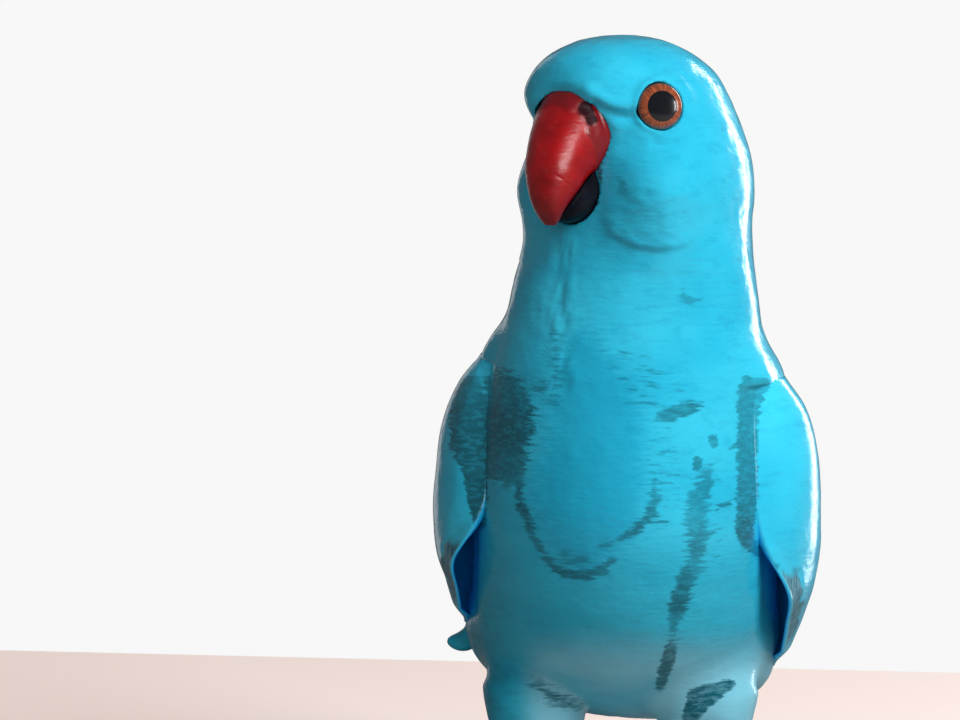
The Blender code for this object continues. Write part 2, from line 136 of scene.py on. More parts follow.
def link(name, mesh):
    """Puts a mesh in the scene as an object."""
    thing = bpy.data.objects.new(name, mesh)
    bpy.context.scene.collection.objects.link(thing)
    return thing


def feed(tree, made, inputs):
    """Gives a node its inputs. Each is a value, a colour or the socket that feeds it."""
    for key, value in inputs.items():
        socket = made.inputs[key]
        if isinstance(value, bpy.types.NodeSocket):
            tree.links.new(value, socket)
        else:
            socket.default_value = (*value, 1) if socket.type == "RGBA" else value


def node(tree, kind, inputs=None, **settings):
    """Adds a node with these settings and inputs."""
    made = tree.nodes.new(kind)
    for key, value in settings.items():
        setattr(made, key, value)
    feed(tree, made, inputs or {})
    return made


def new_material(name):
    """A node material, with its tree and its shader."""
    material = bpy.data.materials.new(name)
    material.use_nodes = True
    return material, material.node_tree, material.node_tree.nodes["Principled BSDF"]


def stretched_noise(tree, scale, detail=3.0, roughness=0.55):
    """Noise on the object's own coordinates, with its own scale along each axis, in lumps per metre."""
    place = node(tree, "ShaderNodeTexCoord").outputs["Object"]
    stretched = node(tree, "ShaderNodeMapping", {"Vector": place, "Scale": scale}).outputs["Vector"]
    inputs = {"Vector": stretched, "Scale": 1.0, "Detail": detail, "Roughness": roughness}
    return node(tree, "ShaderNodeTexNoise", inputs).outputs["Fac"]


def ramp(tree, factor, stops):
    """A colour ramp through (place, colour) stops."""
    made = node(tree, "ShaderNodeValToRGB", {"Fac": factor})
    band = made.color_ramp
    band.interpolation = "EASE"
    while len(band.elements) < len(stops):
        band.elements.new(0.5)
    for element, (at, colour) in zip(band.elements, stops):
        element.position = at
        element.color = (*colour, 1)
    return made.outputs["Color"]


def mixed(tree, factor, first, second, blend="MIX"):
    """Mixes two colours."""
    inputs = {0: factor, 6: first, 7: second}
    return node(tree, "ShaderNodeMix", inputs, data_type="RGBA", blend_type=blend).outputs[2]


def bump(tree, height, distance, strength=1.0, under=None):
    """A bump of this height in metres, on top of another if one is given."""
    inputs = {"Height": height, "Distance": distance, "Strength": strength}
    if under is not None:
        inputs["Normal"] = under
    return node(tree, "ShaderNodeBump", inputs).outputs["Normal"]


def base_rings():
    """The slab's section swept round the oval, from the middle of the underside to the middle of the top."""
    chamfer = BASE_EDGE_RADIUS / 3
    height = base_high.z - base_low.z
    section = [(share, 0.0, 0.0) for share in (0.05, 0.5)]
    section += [(1.0, chamfer, 0.0), (1.0, 0.0, chamfer)]
    for turn in np.linspace(0, math.pi / 2, 9):
        inset = BASE_EDGE_RADIUS * (1 - math.cos(turn))
        section.append((1.0, inset, height - BASE_EDGE_RADIUS * (1 - math.sin(turn))))
    section += [(share, BASE_EDGE_RADIUS * share, height) for share in np.linspace(0.96, 0.04, 24)]
    share, inset, up = np.array(section).T[:, :, None]
    turns = turns_round(BASE_COLUMNS)
    (left, front, _), (right, rear, _) = base_low, base_high
    beside = (right + left) / 2 + ((right - left) / 2 - inset) * share * np.cos(turns)
    back = (rear + front) / 2 + ((rear - front) / 2 - inset) * share * np.sin(turns)
    rings = stacked(beside, back, up)
    dip = BASE_WAVINESS * (soft_noise(rings, 0.009, 3) - 1) / 2
    rings[..., 2] += dip * (rings[..., 2] > height / 2)
    return rings


base = link("oval_base", loft(base_rings(), "oval_base"))
material, tree, shader = new_material("off_white_base_paint")
blotches = stretched_noise(tree, (60, 60, 60))
base_colour = ramp(tree, blotches, [(0.35, (0.60, 0.59, 0.56)), (0.65, (0.74, 0.735, 0.715))])
specks = stretched_noise(tree, (900, 900, 900), detail=1.0)
speck_mask = ramp(tree, specks, [(0.70, (0, 0, 0)), (0.76, (1, 1, 1))])
base_colour = mixed(tree, speck_mask, base_colour, (0.42, 0.40, 0.37))
grain = bump(tree, stretched_noise(tree, (700, 700, 700)), 0.00006)
feed(tree, shader, {"Base Color": base_colour, "Roughness": 0.38, "Normal": grain})
base.data.materials.append(material)
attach(base, "root")
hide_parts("base")


# Body: one resin casting of head, trunk, long tail, legs and feet. It was sprayed a bright cyan, brushed over
# with gloss, and has since taken dark stains that ran down the chest. Its relief is modelled, not painted,
# though some shade, shadow and bounce light is painted into its colour.
SEAM = 0.0003
SOLE = base_high.z + SEAM
CROWN = 159.8
UNIT = (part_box("parrot_body")[1].z - SOLE) / CROWN
HEAD_TURN = math.radians(38)
SHOULDER_ROLL = math.radians(3.4)
BODY_COLUMNS = 230

# Sections from the tail tip to the crown, in drawing units, about 160 to the bird's height: height of the
# centre above the soles, its place across and back, lean in degrees, half width, reach to the front, reach to
# the back, share of the head's turn.
BODY_SECTIONS = np.array(
    (
        (7.0, 0.0, 113.0, 80, 0.9, 0.5, 0.5, 0),
        (7.2, 0.0, 111.0, 80, 3.4, 1.1, 1.1, 0),
        (8.2, 0.0, 104.0, 79, 5.6, 1.5, 1.5, 0),
        (10.8, 0.0, 90.0, 76, 8.0, 2.0, 2.0, 0),
        (14.8, 0.0, 74.0, 73, 10.2, 2.8, 2.9, 0),
        (19.0, 0.0, 60.0, 69, 12.8, 4.2, 4.4, 0),
        (22.6, 0.0, 48.0, 64, 16.4, 7.0, 7.6, 0),
        (26.0, -0.2, 36.5, 54, 22.0, 11.0, 13.0, 0),
        (30.2, -1.4, 26.0, 39, 30.0, 16.8, 18.5, 0),
        (35.6, -1.6, 18.0, 28, 32.2, 24.0, 23.0, 0),
        (42.6, -0.8, 12.2, 21, 32.4, 29.5, 25.4, 0),
        (50.0, 0.0, 8.4, 17, 32.0, 32.8, 27.0, 0),
        (58.5, 0.5, 4.6, 13, 31.8, 34.0, 28.0, 0),
        (68.0, 1.0, 1.5, 9, 31.2, 33.5, 28.5, 0),
        (80.0, 1.4, 0.0, 5, 30.0, 30.5, 29.0, 0),
        (92.2, 2.2, -0.5, 2, 28.4, 26.5, 27.0, 0),
        (93.6, 2.2, -0.5, 2, 28.2, 26.2, 26.8, 0),
        (102.0, 2.6, -0.8, 0, 25.9, 23.0, 25.0, 0.05),
        (110.0, 2.8, -1.0, 0, 24.6, 20.8, 24.4, 0.3),
        (117.0, 2.9, -1.0, 0, 23.2, 19.2, 24.8, 0.65),
        (123.0, 2.9, -1.0, 0, 22.2, 18.2, 25.0, 0.9),
        (129.0, 2.8, -1.0, 0, 22.2, 17.8, 25.6, 1),
        (135.0, 2.6, -1.0, 0, 21.6, 17.8, 25.4, 1),
        (141.0, 2.3, -1.0, 0, 20.0, 18.2, 24.0, 1),
        (147.0, 1.8, -1.0, 0, 18.4, 22.0, 21.6, 1),
        (152.0, 1.4, -1.3, 0, 16.4, 21.2, 18.7, 1),
        (156.0, 0.9, -1.7, 0, 12.8, 17.0, 14.0, 1),
        (158.6, 0.6, -2.0, 0, 8.0, 10.4, 8.2, 1),
        (159.6, 0.4, -2.2, 0, 3.0, 3.8, 3.2, 1),
        (159.8, 0.4, -2.2, 0, 0.3, 0.4, 0.3, 1),
    )
)
# Where the wings' lowest part, the belly, the shoulders and the head's middle are in that table.
RUMP_ROW, BELLY_ROW, SHOULDER_ROW, NECK_ROW = 6, 9, 19, -7
# How far apart the rows of the mesh are, from one height above the soles to the next.
ROW_STEPS = ((0.0, 1.25), (22.0, 0.85), (40.0, 0.66), (91.4, 0.28), (95.4, 0.62), (200.0, 0.62))

# The mantle's lip over the shoulders, which starts further back on the right, and the scoop in the flank
# under each wing's free edge.
MANTLE_TOP, MANTLE_EDGE, MANTLE_FOOT, MANTLE_LIP = 104, 93.6, 92.2, 2.3
MANTLE_FRONT = math.radians(50), math.radians(70)
MANTLE_BACK = math.radians(152), math.radians(118)
RIGHT_MANTLE_BACK = math.radians(18)
SCOOP_DEPTH = 0.9
SCOOP_FOOT, SCOOP_TOP = (39, 47), (68, 58)
SCOOP_FRONT = math.radians(60), math.radians(70)
SCOOP_BACK = math.radians(140), math.radians(108)

# Rounded forms on the head: place across, ahead and up in the head's own frame, radius, rise.
HEAD_FORMS = (
    ((18, 12, 129), 10, 3.6),
    ((-18, 12, 129), 10, 3.6),
    ((10.5, 18.5, 148), 6, 0.3),
    ((-10.5, 18.5, 148), 6, 1.1),
    ((0, 21, 146.5), 6.5, -2.2),
    ((16, 12, 147), 6.5, -0.9),
    ((-16, 12, 147), 6.5, -0.9),
)


def smooth_rows(knots, rows, at):
    """The rows' values at these places on a smooth curve through the rows, which stand at the knots."""
    knots, rows, at = np.asarray(knots, float), np.asarray(rows, float), np.asarray(at, float)
    last = len(knots) - 1
    at = np.clip(at, knots[0], knots[last])
    i = np.clip(np.searchsorted(knots, at, side="right") - 1, 0, last - 1)
    before, after = np.maximum(i - 1, 0), np.minimum(i + 2, last)
    span = knots[i + 1] - knots[i]
    share = ((at - knots[i]) / span)[..., None]
    leaving = (rows[i + 1] - rows[before]) * (span / (knots[i + 1] - knots[before]))[..., None]
    arriving = (rows[after] - rows[i]) * (span / (knots[after] - knots[i]))[..., None]
    cube, square = share**3, share**2
    return (
        (2 * cube - 3 * square + 1) * rows[i]
        + (cube - 2 * square + share) * leaving
        + (3 * square - 2 * cube) * rows[i + 1]
        + (cube - square) * arriving
    )


def head_point(across, ahead, up):
    """A point of the head's own frame, in the drawing units of the figurine."""
    turned_x = across * math.cos(HEAD_TURN) - ahead * math.sin(HEAD_TURN)
    turned_y = -across * math.sin(HEAD_TURN) - ahead * math.cos(HEAD_TURN)
    neck = BODY_SECTIONS[NECK_ROW]
    return stacked(turned_x + neck[1], turned_y + neck[2], up)


def in_frame(points):
    """Drawing units, measured from the soles, in metres of the shared frame."""
    return points * UNIT + np.array([0, 0, SOLE])


KNOTS = np.concatenate(
    [[0.0], np.cumsum(np.linalg.norm(np.diff(BODY_SECTIONS[:, [0, 2, 4]], axis=0), axis=1))]
)


def off_front(bearing):
    """How far round a bearing is from the front, to either side."""
    return np.abs((bearing + math.pi) % math.tau - math.pi)


def skin(knot, bearing, lipped=True):
    """Points of the bird's surface: bearing 0 is its front and a quarter turn its left side."""
    values = smooth_rows(KNOTS, BODY_SECTIONS, knot)
    height, across, back, lean, half_width, front, rear, turn = np.moveaxis(values, -1, 0)
    lean = np.radians(lean)
    roll = SHOULDER_ROLL * (1 - turn)
    sine, cosine = np.sin(bearing), np.cos(bearing)
    from_front = off_front(bearing)
    lip = np.zeros(np.broadcast(knot, bearing).shape)
    if lipped:
        scoop = ease(*SCOOP_FOOT, height) * ease(*SCOOP_TOP, height)
        scoop = scoop * ease(*SCOOP_FRONT, from_front) * ease(*SCOOP_BACK, from_front)
        mantle = ease(MANTLE_FOOT, MANTLE_EDGE, height) * ease(MANTLE_TOP, MANTLE_EDGE, height)
        shoulder = from_front - RIGHT_MANTLE_BACK * (sine < 0)
        mantle = mantle * ease(*MANTLE_FRONT, shoulder) * ease(*MANTLE_BACK, from_front)
        lip = MANTLE_LIP * mantle - SCOOP_DEPTH * scoop
    beside = (half_width + lip) * sine
    ahead = (np.where(cosine > 0, front, rear) + lip) * cosine
    x, y, z = beside * np.cos(roll), -ahead * np.cos(lean), -beside * np.sin(roll) - ahead * np.sin(lean)
    spin = HEAD_TURN * turn
    outline = stacked(x * np.cos(spin) + y * np.sin(spin), y * np.cos(spin) - x * np.sin(spin), z)
    points = outline + stacked(across, back, height)
    rise = np.zeros(points.shape[:-1])
    for place, radius, swell in HEAD_FORMS:
        away = np.linalg.norm(points - head_point(*place), axis=-1)
        rise += swell * np.exp(-((away / radius) ** 2) * 1.4)
    rise = rise * (turn > 0.5)
    length = np.linalg.norm(outline, axis=-1, keepdims=True)
    return points + outline / np.maximum(length, 1e-6) * rise[..., None]


def row_knots():
    """Where the rows of the body's mesh stand, closer together where there is more to show."""
    knots = [0.0]
    while knots[-1] < KNOTS[-1]:
        height = smooth_rows(KNOTS, BODY_SECTIONS, knots[-1])[0]
        step = [step for start, step in ROW_STEPS if start <= height][-1]
        knots.append(knots[-1] + step)
    knots[-1] = KNOTS[-1]
    return np.array(knots)


# The eyes' seats: the centre of each in the head's frame, the way it looks, and the raised lid round it.
EYE_PLACE = (16.1, 9.3, 145.9)
EYE_BEARING, EYE_RISE = math.radians(63), math.radians(4)
EYE_RADIUS = 4.5
LID_RADIUS, LID_WIDTH, LID_RISE = 5.05, 0.45, 0.6
FOLD_RADIUS, FOLD_WIDTH, FOLD_RISE = 6.9, 0.8, 0.2


def eye_axis(side):
    """The centre of an eye and the way it looks, in drawing units."""
    across, ahead, up = EYE_PLACE
    centre = head_point(side * across, ahead, up)
    far = head_point(
        side * (across + math.sin(EYE_BEARING)), ahead + math.cos(EYE_BEARING), up + math.tan(EYE_RISE)
    )
    return centre, unit(far - centre)


# The upper beak from its root to its tip: the ridge and the cutting edge (ahead, up), and the half width.
BEAK_SECTIONS = (
    (9.0, 146.8, 7.0, 132.4, 8.2),
    (16.0, 149.5, 11.5, 133.0, 9.0),
    (20.4, 149.1, 15.0, 133.2, 8.9),
    (22.6, 146.0, 17.0, 132.2, 8.0),
    (24.9, 141.2, 18.8, 130.4, 7.1),
    (26.7, 135.4, 20.2, 128.6, 6.2),
    (26.8, 130.4, 21.3, 126.8, 4.8),
    (26.1, 126.4, 22.0, 125.2, 3.5),
    (24.7, 123.9, 22.5, 123.7, 2.4),
    (23.8, 122.7, 22.9, 122.9, 1.5),
)
# The lower beak from its root forwards: place ahead, top, bottom, half width.
LOWER_BEAK_SECTIONS = (
    (8.0, 138.4, 127.4, 7.2),
    (12.0, 139.9, 125.0, 8.1),
    (16.0, 137.6, 123.2, 7.2),
    (19.0, 133.2, 122.9, 5.9),
    (21.0, 129.0, 123.3, 4.2),
    (22.2, 126.8, 124.2, 2.0),
)
# How full the upper beak's section is beside the cutting edge and left of the ridge: 1 is an ellipse, less is
# fuller.
EDGE_POWER, LEFT_POWER = 0.5, 0.64


def beak_rings(rows, sides, grow=0.0):
    """The upper beak's surface in drawing units, and how far along it and round it each point is."""
    along = np.linspace(0, len(BEAK_SECTIONS) - 1, rows)
    values = smooth_rows(np.arange(len(BEAK_SECTIONS)), BEAK_SECTIONS, along)
    ridge, edge, half = values[:, 0:2], values[:, 2:4], values[:, 4]
    middle, spine = (ridge + edge) / 2, (ridge - edge) / 2
    length = np.linalg.norm(spine, axis=1, keepdims=True)
    onward = np.stack([spine[:, 1], -spine[:, 0]], axis=1) / length * grow
    middle[0] -= onward[0]
    middle[-1] += onward[-1]
    spine = spine * (1 + grow / length)
    turns = turns_round(sides)
    power = np.where(np.cos(turns) < 0, EDGE_POWER, np.where(np.sin(turns) > 0, LEFT_POWER, 1.0))
    beside = np.sign(np.sin(turns)) * np.abs(np.sin(turns)) ** power
    place = middle[:, None, :] + spine[:, None, :] * np.cos(turns)[None, :, None]
    rings = head_point((half[:, None] + grow) * beside[None, :], place[..., 0], place[..., 1])
    return rings, along[:, None] / along[-1], turns[None, :]


def lower_beak_rings(rows, sides, grow=0.0):
    """The lower beak's surface in drawing units."""
    along = np.linspace(0, len(LOWER_BEAK_SECTIONS) - 1, rows)
    values = smooth_rows(np.arange(len(LOWER_BEAK_SECTIONS)), LOWER_BEAK_SECTIONS, along)
    ahead, top, bottom, half = values.T
    ahead[0] -= grow
    ahead[-1] += grow
    turns = turns_round(sides)
    rise = (top - bottom) / 2 + grow
    up = ((top + bottom) / 2)[:, None] + rise[:, None] * np.cos(turns)[None, :]
    return head_point((half + grow)[:, None] * np.sin(turns)[None, :], ahead[:, None], up)


# The photo shows the bird from a little to its left and a little above. Marks on the front are placed in that
# picture, in drawing units: across from the bird's middle and up from its soles.
VIEW_TURN, VIEW_RISE = math.radians(8), math.radians(5)
CAMERA_DISTANCE, FRAME_OFFSET, AIM_HEIGHT = 0.75, 0.0284, 0.103
RIGHTWARDS = np.array([math.cos(VIEW_TURN), math.sin(VIEW_TURN), 0])
BACKWARDS = np.array(
    [
        math.sin(VIEW_TURN) * math.cos(VIEW_RISE),
        -math.cos(VIEW_TURN) * math.cos(VIEW_RISE),
        math.sin(VIEW_RISE),
    ]
)
UPWARDS = np.cross(BACKWARDS, RIGHTWARDS)
CAMERA_PLACE = np.array([0, 0, AIM_HEIGHT]) - RIGHTWARDS * FRAME_OFFSET + BACKWARDS * CAMERA_DISTANCE
PICTURE_MIDDLE, PICTURE_REACH = (-28.4, 94.5), 746.7


def seen(points):
    """Where points stand in the photo's picture, across and up."""
    offset = in_frame(points) - CAMERA_PLACE
    depth = -(offset @ BACKWARDS)
    across = PICTURE_MIDDLE[0] + PICTURE_REACH * (offset @ RIGHTWARDS) / depth
    return across, PICTURE_MIDDLE[1] + PICTURE_REACH * (offset @ UPWARDS) / depth


def path_distance(across, up, path):
    """The distance of each place from a path, and the path's own further values at the nearest point."""
    path = np.asarray(path, float)
    best = np.full(across.shape, np.inf)
    values = np.zeros(across.shape + (path.shape[1] - 2,))
    for start, end in zip(path, path[1:]):
        run = end[:2] - start[:2]
        share = ((across - start[0]) * run[0] + (up - start[1]) * run[1]) / max(run @ run, 1e-9)
        share = np.clip(share, 0, 1)
        away = np.hypot(across - start[0] - run[0] * share, up - start[1] - run[1] * share)
        nearer = away < best
        best = np.where(nearer, away, best)
        here = start[2:] + (end[2:] - start[2:]) * share[..., None]
        values = np.where(nearer[..., None], here, values)
    return best, values


# Creases and ridges on the head: path as seen in the photo, rise (a crease is negative), width.
HEAD_LINES = (
    (((-5.2, 145.8), (-3.4, 144.6), (-0.8, 143.3), (1.4, 143.0), (3.2, 144.0)), -0.9, 1.2),
    (((-6.6, 148.6), (-4.0, 146.8), (-1.2, 145.2), (1.4, 145.6), (3.4, 147.6), (4.6, 149.4)), 0.5, 1.3),
    (((3.6, 149.0), (7.2, 151.2), (11.4, 150.2), (13.6, 147.0)), 0.3, 1.2),
    (((6.4, 138.1), (8.4, 137.7), (10.6, 137.9)), -0.5, 0.5),
    (((2.4, 140.6), (5.0, 139.2), (9.0, 138.9), (12.0, 140.4)), 0.22, 1.3),
)
CHEEK_EDGE = (
    (-3.0, 120.4),
    (0.6, 118.3),
    (3.6, 117.2),
    (6.6, 116.7),
    (10.0, 116.9),
    (13.1, 117.5),
    (17.4, 119.1),
)
CHEEK_RISE, CHEEK_FADE = 0.75, 9.0
WRINKLE_RISE = 0.22
THROAT_LINE = ((-11.4, 119.4), (-12.2, 110.0), (-12.8, 100.0), (-12.0, 90.0))
THROAT_WIDTH, THROAT_RISE = 2.6, 0.32
# The puckered rim of the paint round the beak: how far from the beak, width, rise; and where to look for it.
BEAK_RIM_PLACE, BEAK_RIM_WIDTH, BEAK_RIM_RISE = 1.4, 1.3, 0.55
BEAK_MIDDLE, BEAK_REACH = (0, 17, 139), 20
# The hand-worked unevenness of the whole casting: size of the lumps, and their height.
NOISE_RELIEF = ((9.0, 0.15), (3.6, 0.08), (1.7, 0.05))


def head_relief(points, front):
    """How far the finer forms of the head and the throat stand out, where the surface faces the front."""
    across, up = seen(points)
    rise = np.zeros(points.shape[:-1])
    for path, swell, width in HEAD_LINES:
        away, _ = path_distance(across, up, path)
        rise += swell * bell(away, width) * front
    edge_up = np.interp(across, *np.array(CHEEK_EDGE).T)
    above = ease(-0.5, 0.4, up - edge_up) * ease(CHEEK_FADE, 0, up - edge_up)
    ends = ease(-5.0, -0.5, across) * ease(16.0, 8.0, across)
    rise += CHEEK_RISE * above * ends * front
    wrinkle = soft_noise(points * np.array([0.55, 0.55, 1.0]), 1.4, 11)
    wrinkle = 0.4 * wrinkle + 0.8 * soft_noise(points * np.array([0.5, 0.5, 1.0]), 0.9, 13)
    ruffled = ease(116, 120, up) * ease(137, 124, up) * ease(-6, 0, across) * ease(17, 11, across) * front
    rise += WRINKLE_RISE * wrinkle * ruffled
    away, _ = path_distance(across, up, THROAT_LINE)
    strands = soft_noise(points * np.array([1.0, 1.0, 0.16]), 1.1, 12)
    rise += THROAT_RISE * strands * bell(away, THROAT_WIDTH) * front
    return rise


# Tail: long graduated feathers, each a step above the next, with a raised shaft down the middle.
TAIL_START, TAIL_FULL = 34, 46
TAIL_FEATHERS = (0.30, 0.62, 0.86)
TAIL_STEP, TAIL_GROOVE, TAIL_SHAFT, TAIL_BARBS = 0.5, 0.35, 0.22, 0.03


def tail_relief(points, upper):
    """The edges and shafts of the tail feathers, on the tail's upper side."""
    back = points[..., 1]
    rows = BODY_SECTIONS[BELLY_ROW::-1]
    half = np.interp(back, rows[:, 2], rows[:, 4])
    place = np.abs(points[..., 0]) / np.maximum(half, 1)
    rise = -TAIL_GROOVE * bell(place, 0.06)
    for edge in TAIL_FEATHERS:
        rise -= TAIL_STEP * ease(edge - 0.015, edge + 0.045, place) * ease(edge + 0.26, edge + 0.05, place)
        rise += TAIL_SHAFT * bell(place - (edge - 0.15), 0.022)
    rise += TAIL_BARBS * np.sin((back - np.abs(points[..., 0]) * 1.6) * 4.2)
    return rise * ease(TAIL_START, TAIL_FULL, back) * ease(113, 108, back) * upper


def surface_normals(grid):
    """Unit normals of a grid of points that closes on itself across its columns."""
    along = np.gradient(grid, axis=0)
    around = np.roll(grid, -1, axis=1) - np.roll(grid, 1, axis=1)
    normal = np.cross(around, along)
    normal /= np.maximum(np.linalg.norm(normal, axis=-1, keepdims=True), 1e-9)
    middle = grid.mean(axis=1, keepdims=True)
    outwards = np.sum(normal * (grid - middle), axis=-1).mean()
    return normal if outwards > 0 else -normal


def body_rings():
    """The bird's surface with its relief, in drawing units."""
    knots = row_knots()[:, None]
    grid = skin(knots, turns_round(BODY_COLUMNS)[None, :])
    normal = surface_normals(grid)
    front = ease(-0.05, 0.4, normal @ BACKWARDS)
    rise = head_relief(grid, front)
    for side in (1, -1):
        centre, axis = eye_axis(side)
        offset = grid - centre
        outwards = offset @ axis
        radius = np.linalg.norm(offset - outwards[..., None] * axis, axis=-1)
        near = ease(-6, -3.5, outwards)
        rise += LID_RISE * bell(radius - LID_RADIUS, LID_WIDTH) * near
        behind = ease(-3, 4, (offset @ np.cross([0, 0, 1], axis)) * side)
        rise += FOLD_RISE * bell(radius - FOLD_RADIUS, FOLD_WIDTH) * near * behind
    beak, _, _ = beak_rings(60, 40)
    tree_of_beak = BVHTree.FromPolygons(*mesh_lists(loft(beak, "beak_form")))
    close = np.argwhere(np.linalg.norm(grid - head_point(*BEAK_MIDDLE), axis=-1) < BEAK_REACH)
    for i, j in close:
        away = tree_of_beak.find_nearest(Vector(grid[i, j]))[3]
        rim = BEAK_RIM_RISE * float(bell(away - BEAK_RIM_PLACE, BEAK_RIM_WIDTH))
        rise[i, j] += rim * (0.2 + 0.8 * float(ease(138, 147, grid[i, j, 2])))
    for size, height in NOISE_RELIEF:
        rise += height * soft_noise(grid, size, int(size * 10))
    rise += tail_relief(grid, ease(0.1, 0.5, normal[..., 2]))
    fade = ease(0, 3, knots) * ease(KNOTS[-1], KNOTS[-1] - 3, knots)
    return grid + normal * (rise * fade)[..., None]


def mesh_lists(mesh):
    """The points and faces of a mesh as plain lists."""
    return [v.co[:] for v in mesh.vertices], [p.vertices[:] for p in mesh.polygons]


# Legs: feathered thighs under the belly, then bare scaly shanks and toes with small claws: height, place out
# and back, radius. Two strands cross under each ankle: a front toe runs on into the rear toe across from it.
LEG_SECTIONS = (
    (40.0, 16.6, 4.0, 5.0),
    (36.0, 17.2, 2.0, 9.8),
    (30.0, 17.2, 0.0, 11.0),
    (24.0, 16.9, -1.6, 10.4),
    (18.4, 16.8, -1.4, 8.8),
    (14.3, 16.2, 0.6, 5.8),
    (11.5, 15.8, 2.4, 3.4),
    (8.8, 15.6, 3.2, 2.4),
    (5.5, 15.5, 4.0, 2.2),
    (2.6, 15.5, 4.4, 2.7),
    (0.9, 15.5, 4.4, 1.9),
)
TOE_STRANDS = (
    ((11.5, -13.0), (20.5, 15.5), 1.0),
    ((19.5, -12.0), (11.0, 17.0), 1.07),
)
TOE_SHAPE = ((0.0, 2.3), (0.3, 2.0), (0.55, 2.1), (0.8, 1.6), (1.0, 0.7))
SCALE_PITCH, SCALE_RISE = 1.5, 0.11
CLAW_LENGTH = 0.16
LEG_ROWS, LEG_COLUMNS, TOE_ROWS, TOE_COLUMNS = 96, 40, 58, 20


def leg_rings(side):
    """Thigh and shank, with the shank's scales as ridges round it."""
    knots = np.arange(len(LEG_SECTIONS))
    rows = smooth_rows(knots, LEG_SECTIONS, np.linspace(0, knots[-1], LEG_ROWS))
    height, out, back, radius = rows.T[:, :, None]
    turns = turns_round(LEG_COLUMNS, 0.5)
    scaly = ease(12, 8, height)
    radius = radius + SCALE_RISE * scaly * np.cos(height / SCALE_PITCH * math.tau)
    rings = stacked(side * out + radius * np.cos(turns), back + radius * np.sin(turns), height)
    tufts = soft_noise(rings * np.array([1, 1, 0.35]), 1.8, 21) * 0.3 * (1 - scaly)
    rings[..., 0] += tufts * np.cos(turns)
    rings[..., 1] += tufts * np.sin(turns)
    return rings


def toe_rings(side, front, rear, girth):
    """One strand of two toes, from claw to claw, lying on the base."""
    ankle = np.array(LEG_SECTIONS[-1][1:3])
    half = np.linspace(1 + CLAW_LENGTH, 0, TOE_ROWS)
    share = np.concatenate([half, half[-2::-1]])
    tips = np.concatenate([np.tile(front, (len(half), 1)), np.tile(rear, (len(half) - 1, 1))])
    knots = [place for place, _ in TOE_SHAPE]
    radius = smooth_rows(knots, [[r] for _, r in TOE_SHAPE], share)[..., 0] * girth
    claw = np.clip((share - 0.97) / (CLAW_LENGTH + 0.03), 0, 1)
    radius = lerp(radius, 0.12, claw**1.3)
    reach = np.linalg.norm(tips - ankle, axis=1)
    radius += SCALE_RISE * np.cos(share * reach / SCALE_PITCH * math.tau) * (1 - ease(0, 0.2, claw))
    centre = ankle + (tips - ankle) * share[:, None]
    direction = unit(np.array([rear[0] - front[0], rear[1] - front[1]]))
    turns = turns_round(TOE_COLUMNS, 0.5)
    radius = radius[:, None]
    return stacked(
        side * (centre[:, 0, None] - direction[1] * radius * np.cos(turns)),
        centre[:, 1, None] + direction[0] * radius * np.cos(turns),
        radius * (1 + np.sin(turns)),
    )


def disc_rings(centre, axis, profile, sides):
    """Rings of these radii round an axis, each this far out along it."""
    across = unit(np.cross(axis, [0, 0, 1]))
    upright = np.cross(across, axis)
    turns = turns_round(sides, 0.5)
    round_axis = across * np.cos(turns)[:, None] + upright * np.sin(turns)[:, None]
    return np.array([centre + axis * out + round_axis * radius for radius, out in profile])


def applied(thing):
    """A new mesh of an object with its modifiers applied, which are then removed."""
    bpy.context.view_layer.update()
    mesh = bpy.data.meshes.new_from_object(thing.evaluated_get(bpy.context.evaluated_depsgraph_get()))
    thing.modifiers.clear()
    return mesh


def carve(piece, tools, operation):
    """Joins closed meshes to a piece, or cuts the piece with them, and keeps the result as its mesh."""
    helpers = []
    for tool in tools:
        helpers.append(link("helper", tool))
        boolean = piece.modifiers.new("carve", "BOOLEAN")
        boolean.operation = operation
        boolean.solver = "MANIFOLD"
        boolean.object = helpers[-1]
    piece.data = applied(piece)
    for tool in helpers:
        bpy.data.objects.remove(tool)


def read(items, key, width=1, kind=float):
    """One value of all of a mesh's items as an array, with this many numbers for each."""
    values = np.zeros(len(items) * width, kind)
    items.foreach_get(key, values)
    return values.reshape(-1, width) if width > 1 else values


def vertex_arrays(mesh):
    """The vertices of a mesh in drawing units, and their normals."""
    places = (read(mesh.vertices, "co", 3) - np.array([0, 0, SOLE])) / UNIT
    return places, read(mesh.vertex_normals, "vector", 3)


# Where the thighs are smoothed into the belly: from which height to which, how far on each side of an edge,
# how sharp an edge, how many times and how strongly. Then where the crease starts, and its share of this.
THIGH_HEIGHTS, THIGH_BLEND, THIGH_SHARP = (13, 47), 7.0, math.radians(13)
THIGH_ROUNDS, THIGH_STRENGTH = 90, 0.6
CREASE_START, CREASE_KEPT = -24.0, 0.10
# How far back the legs reach, in front of the tail.
LEGS_BACK = 24


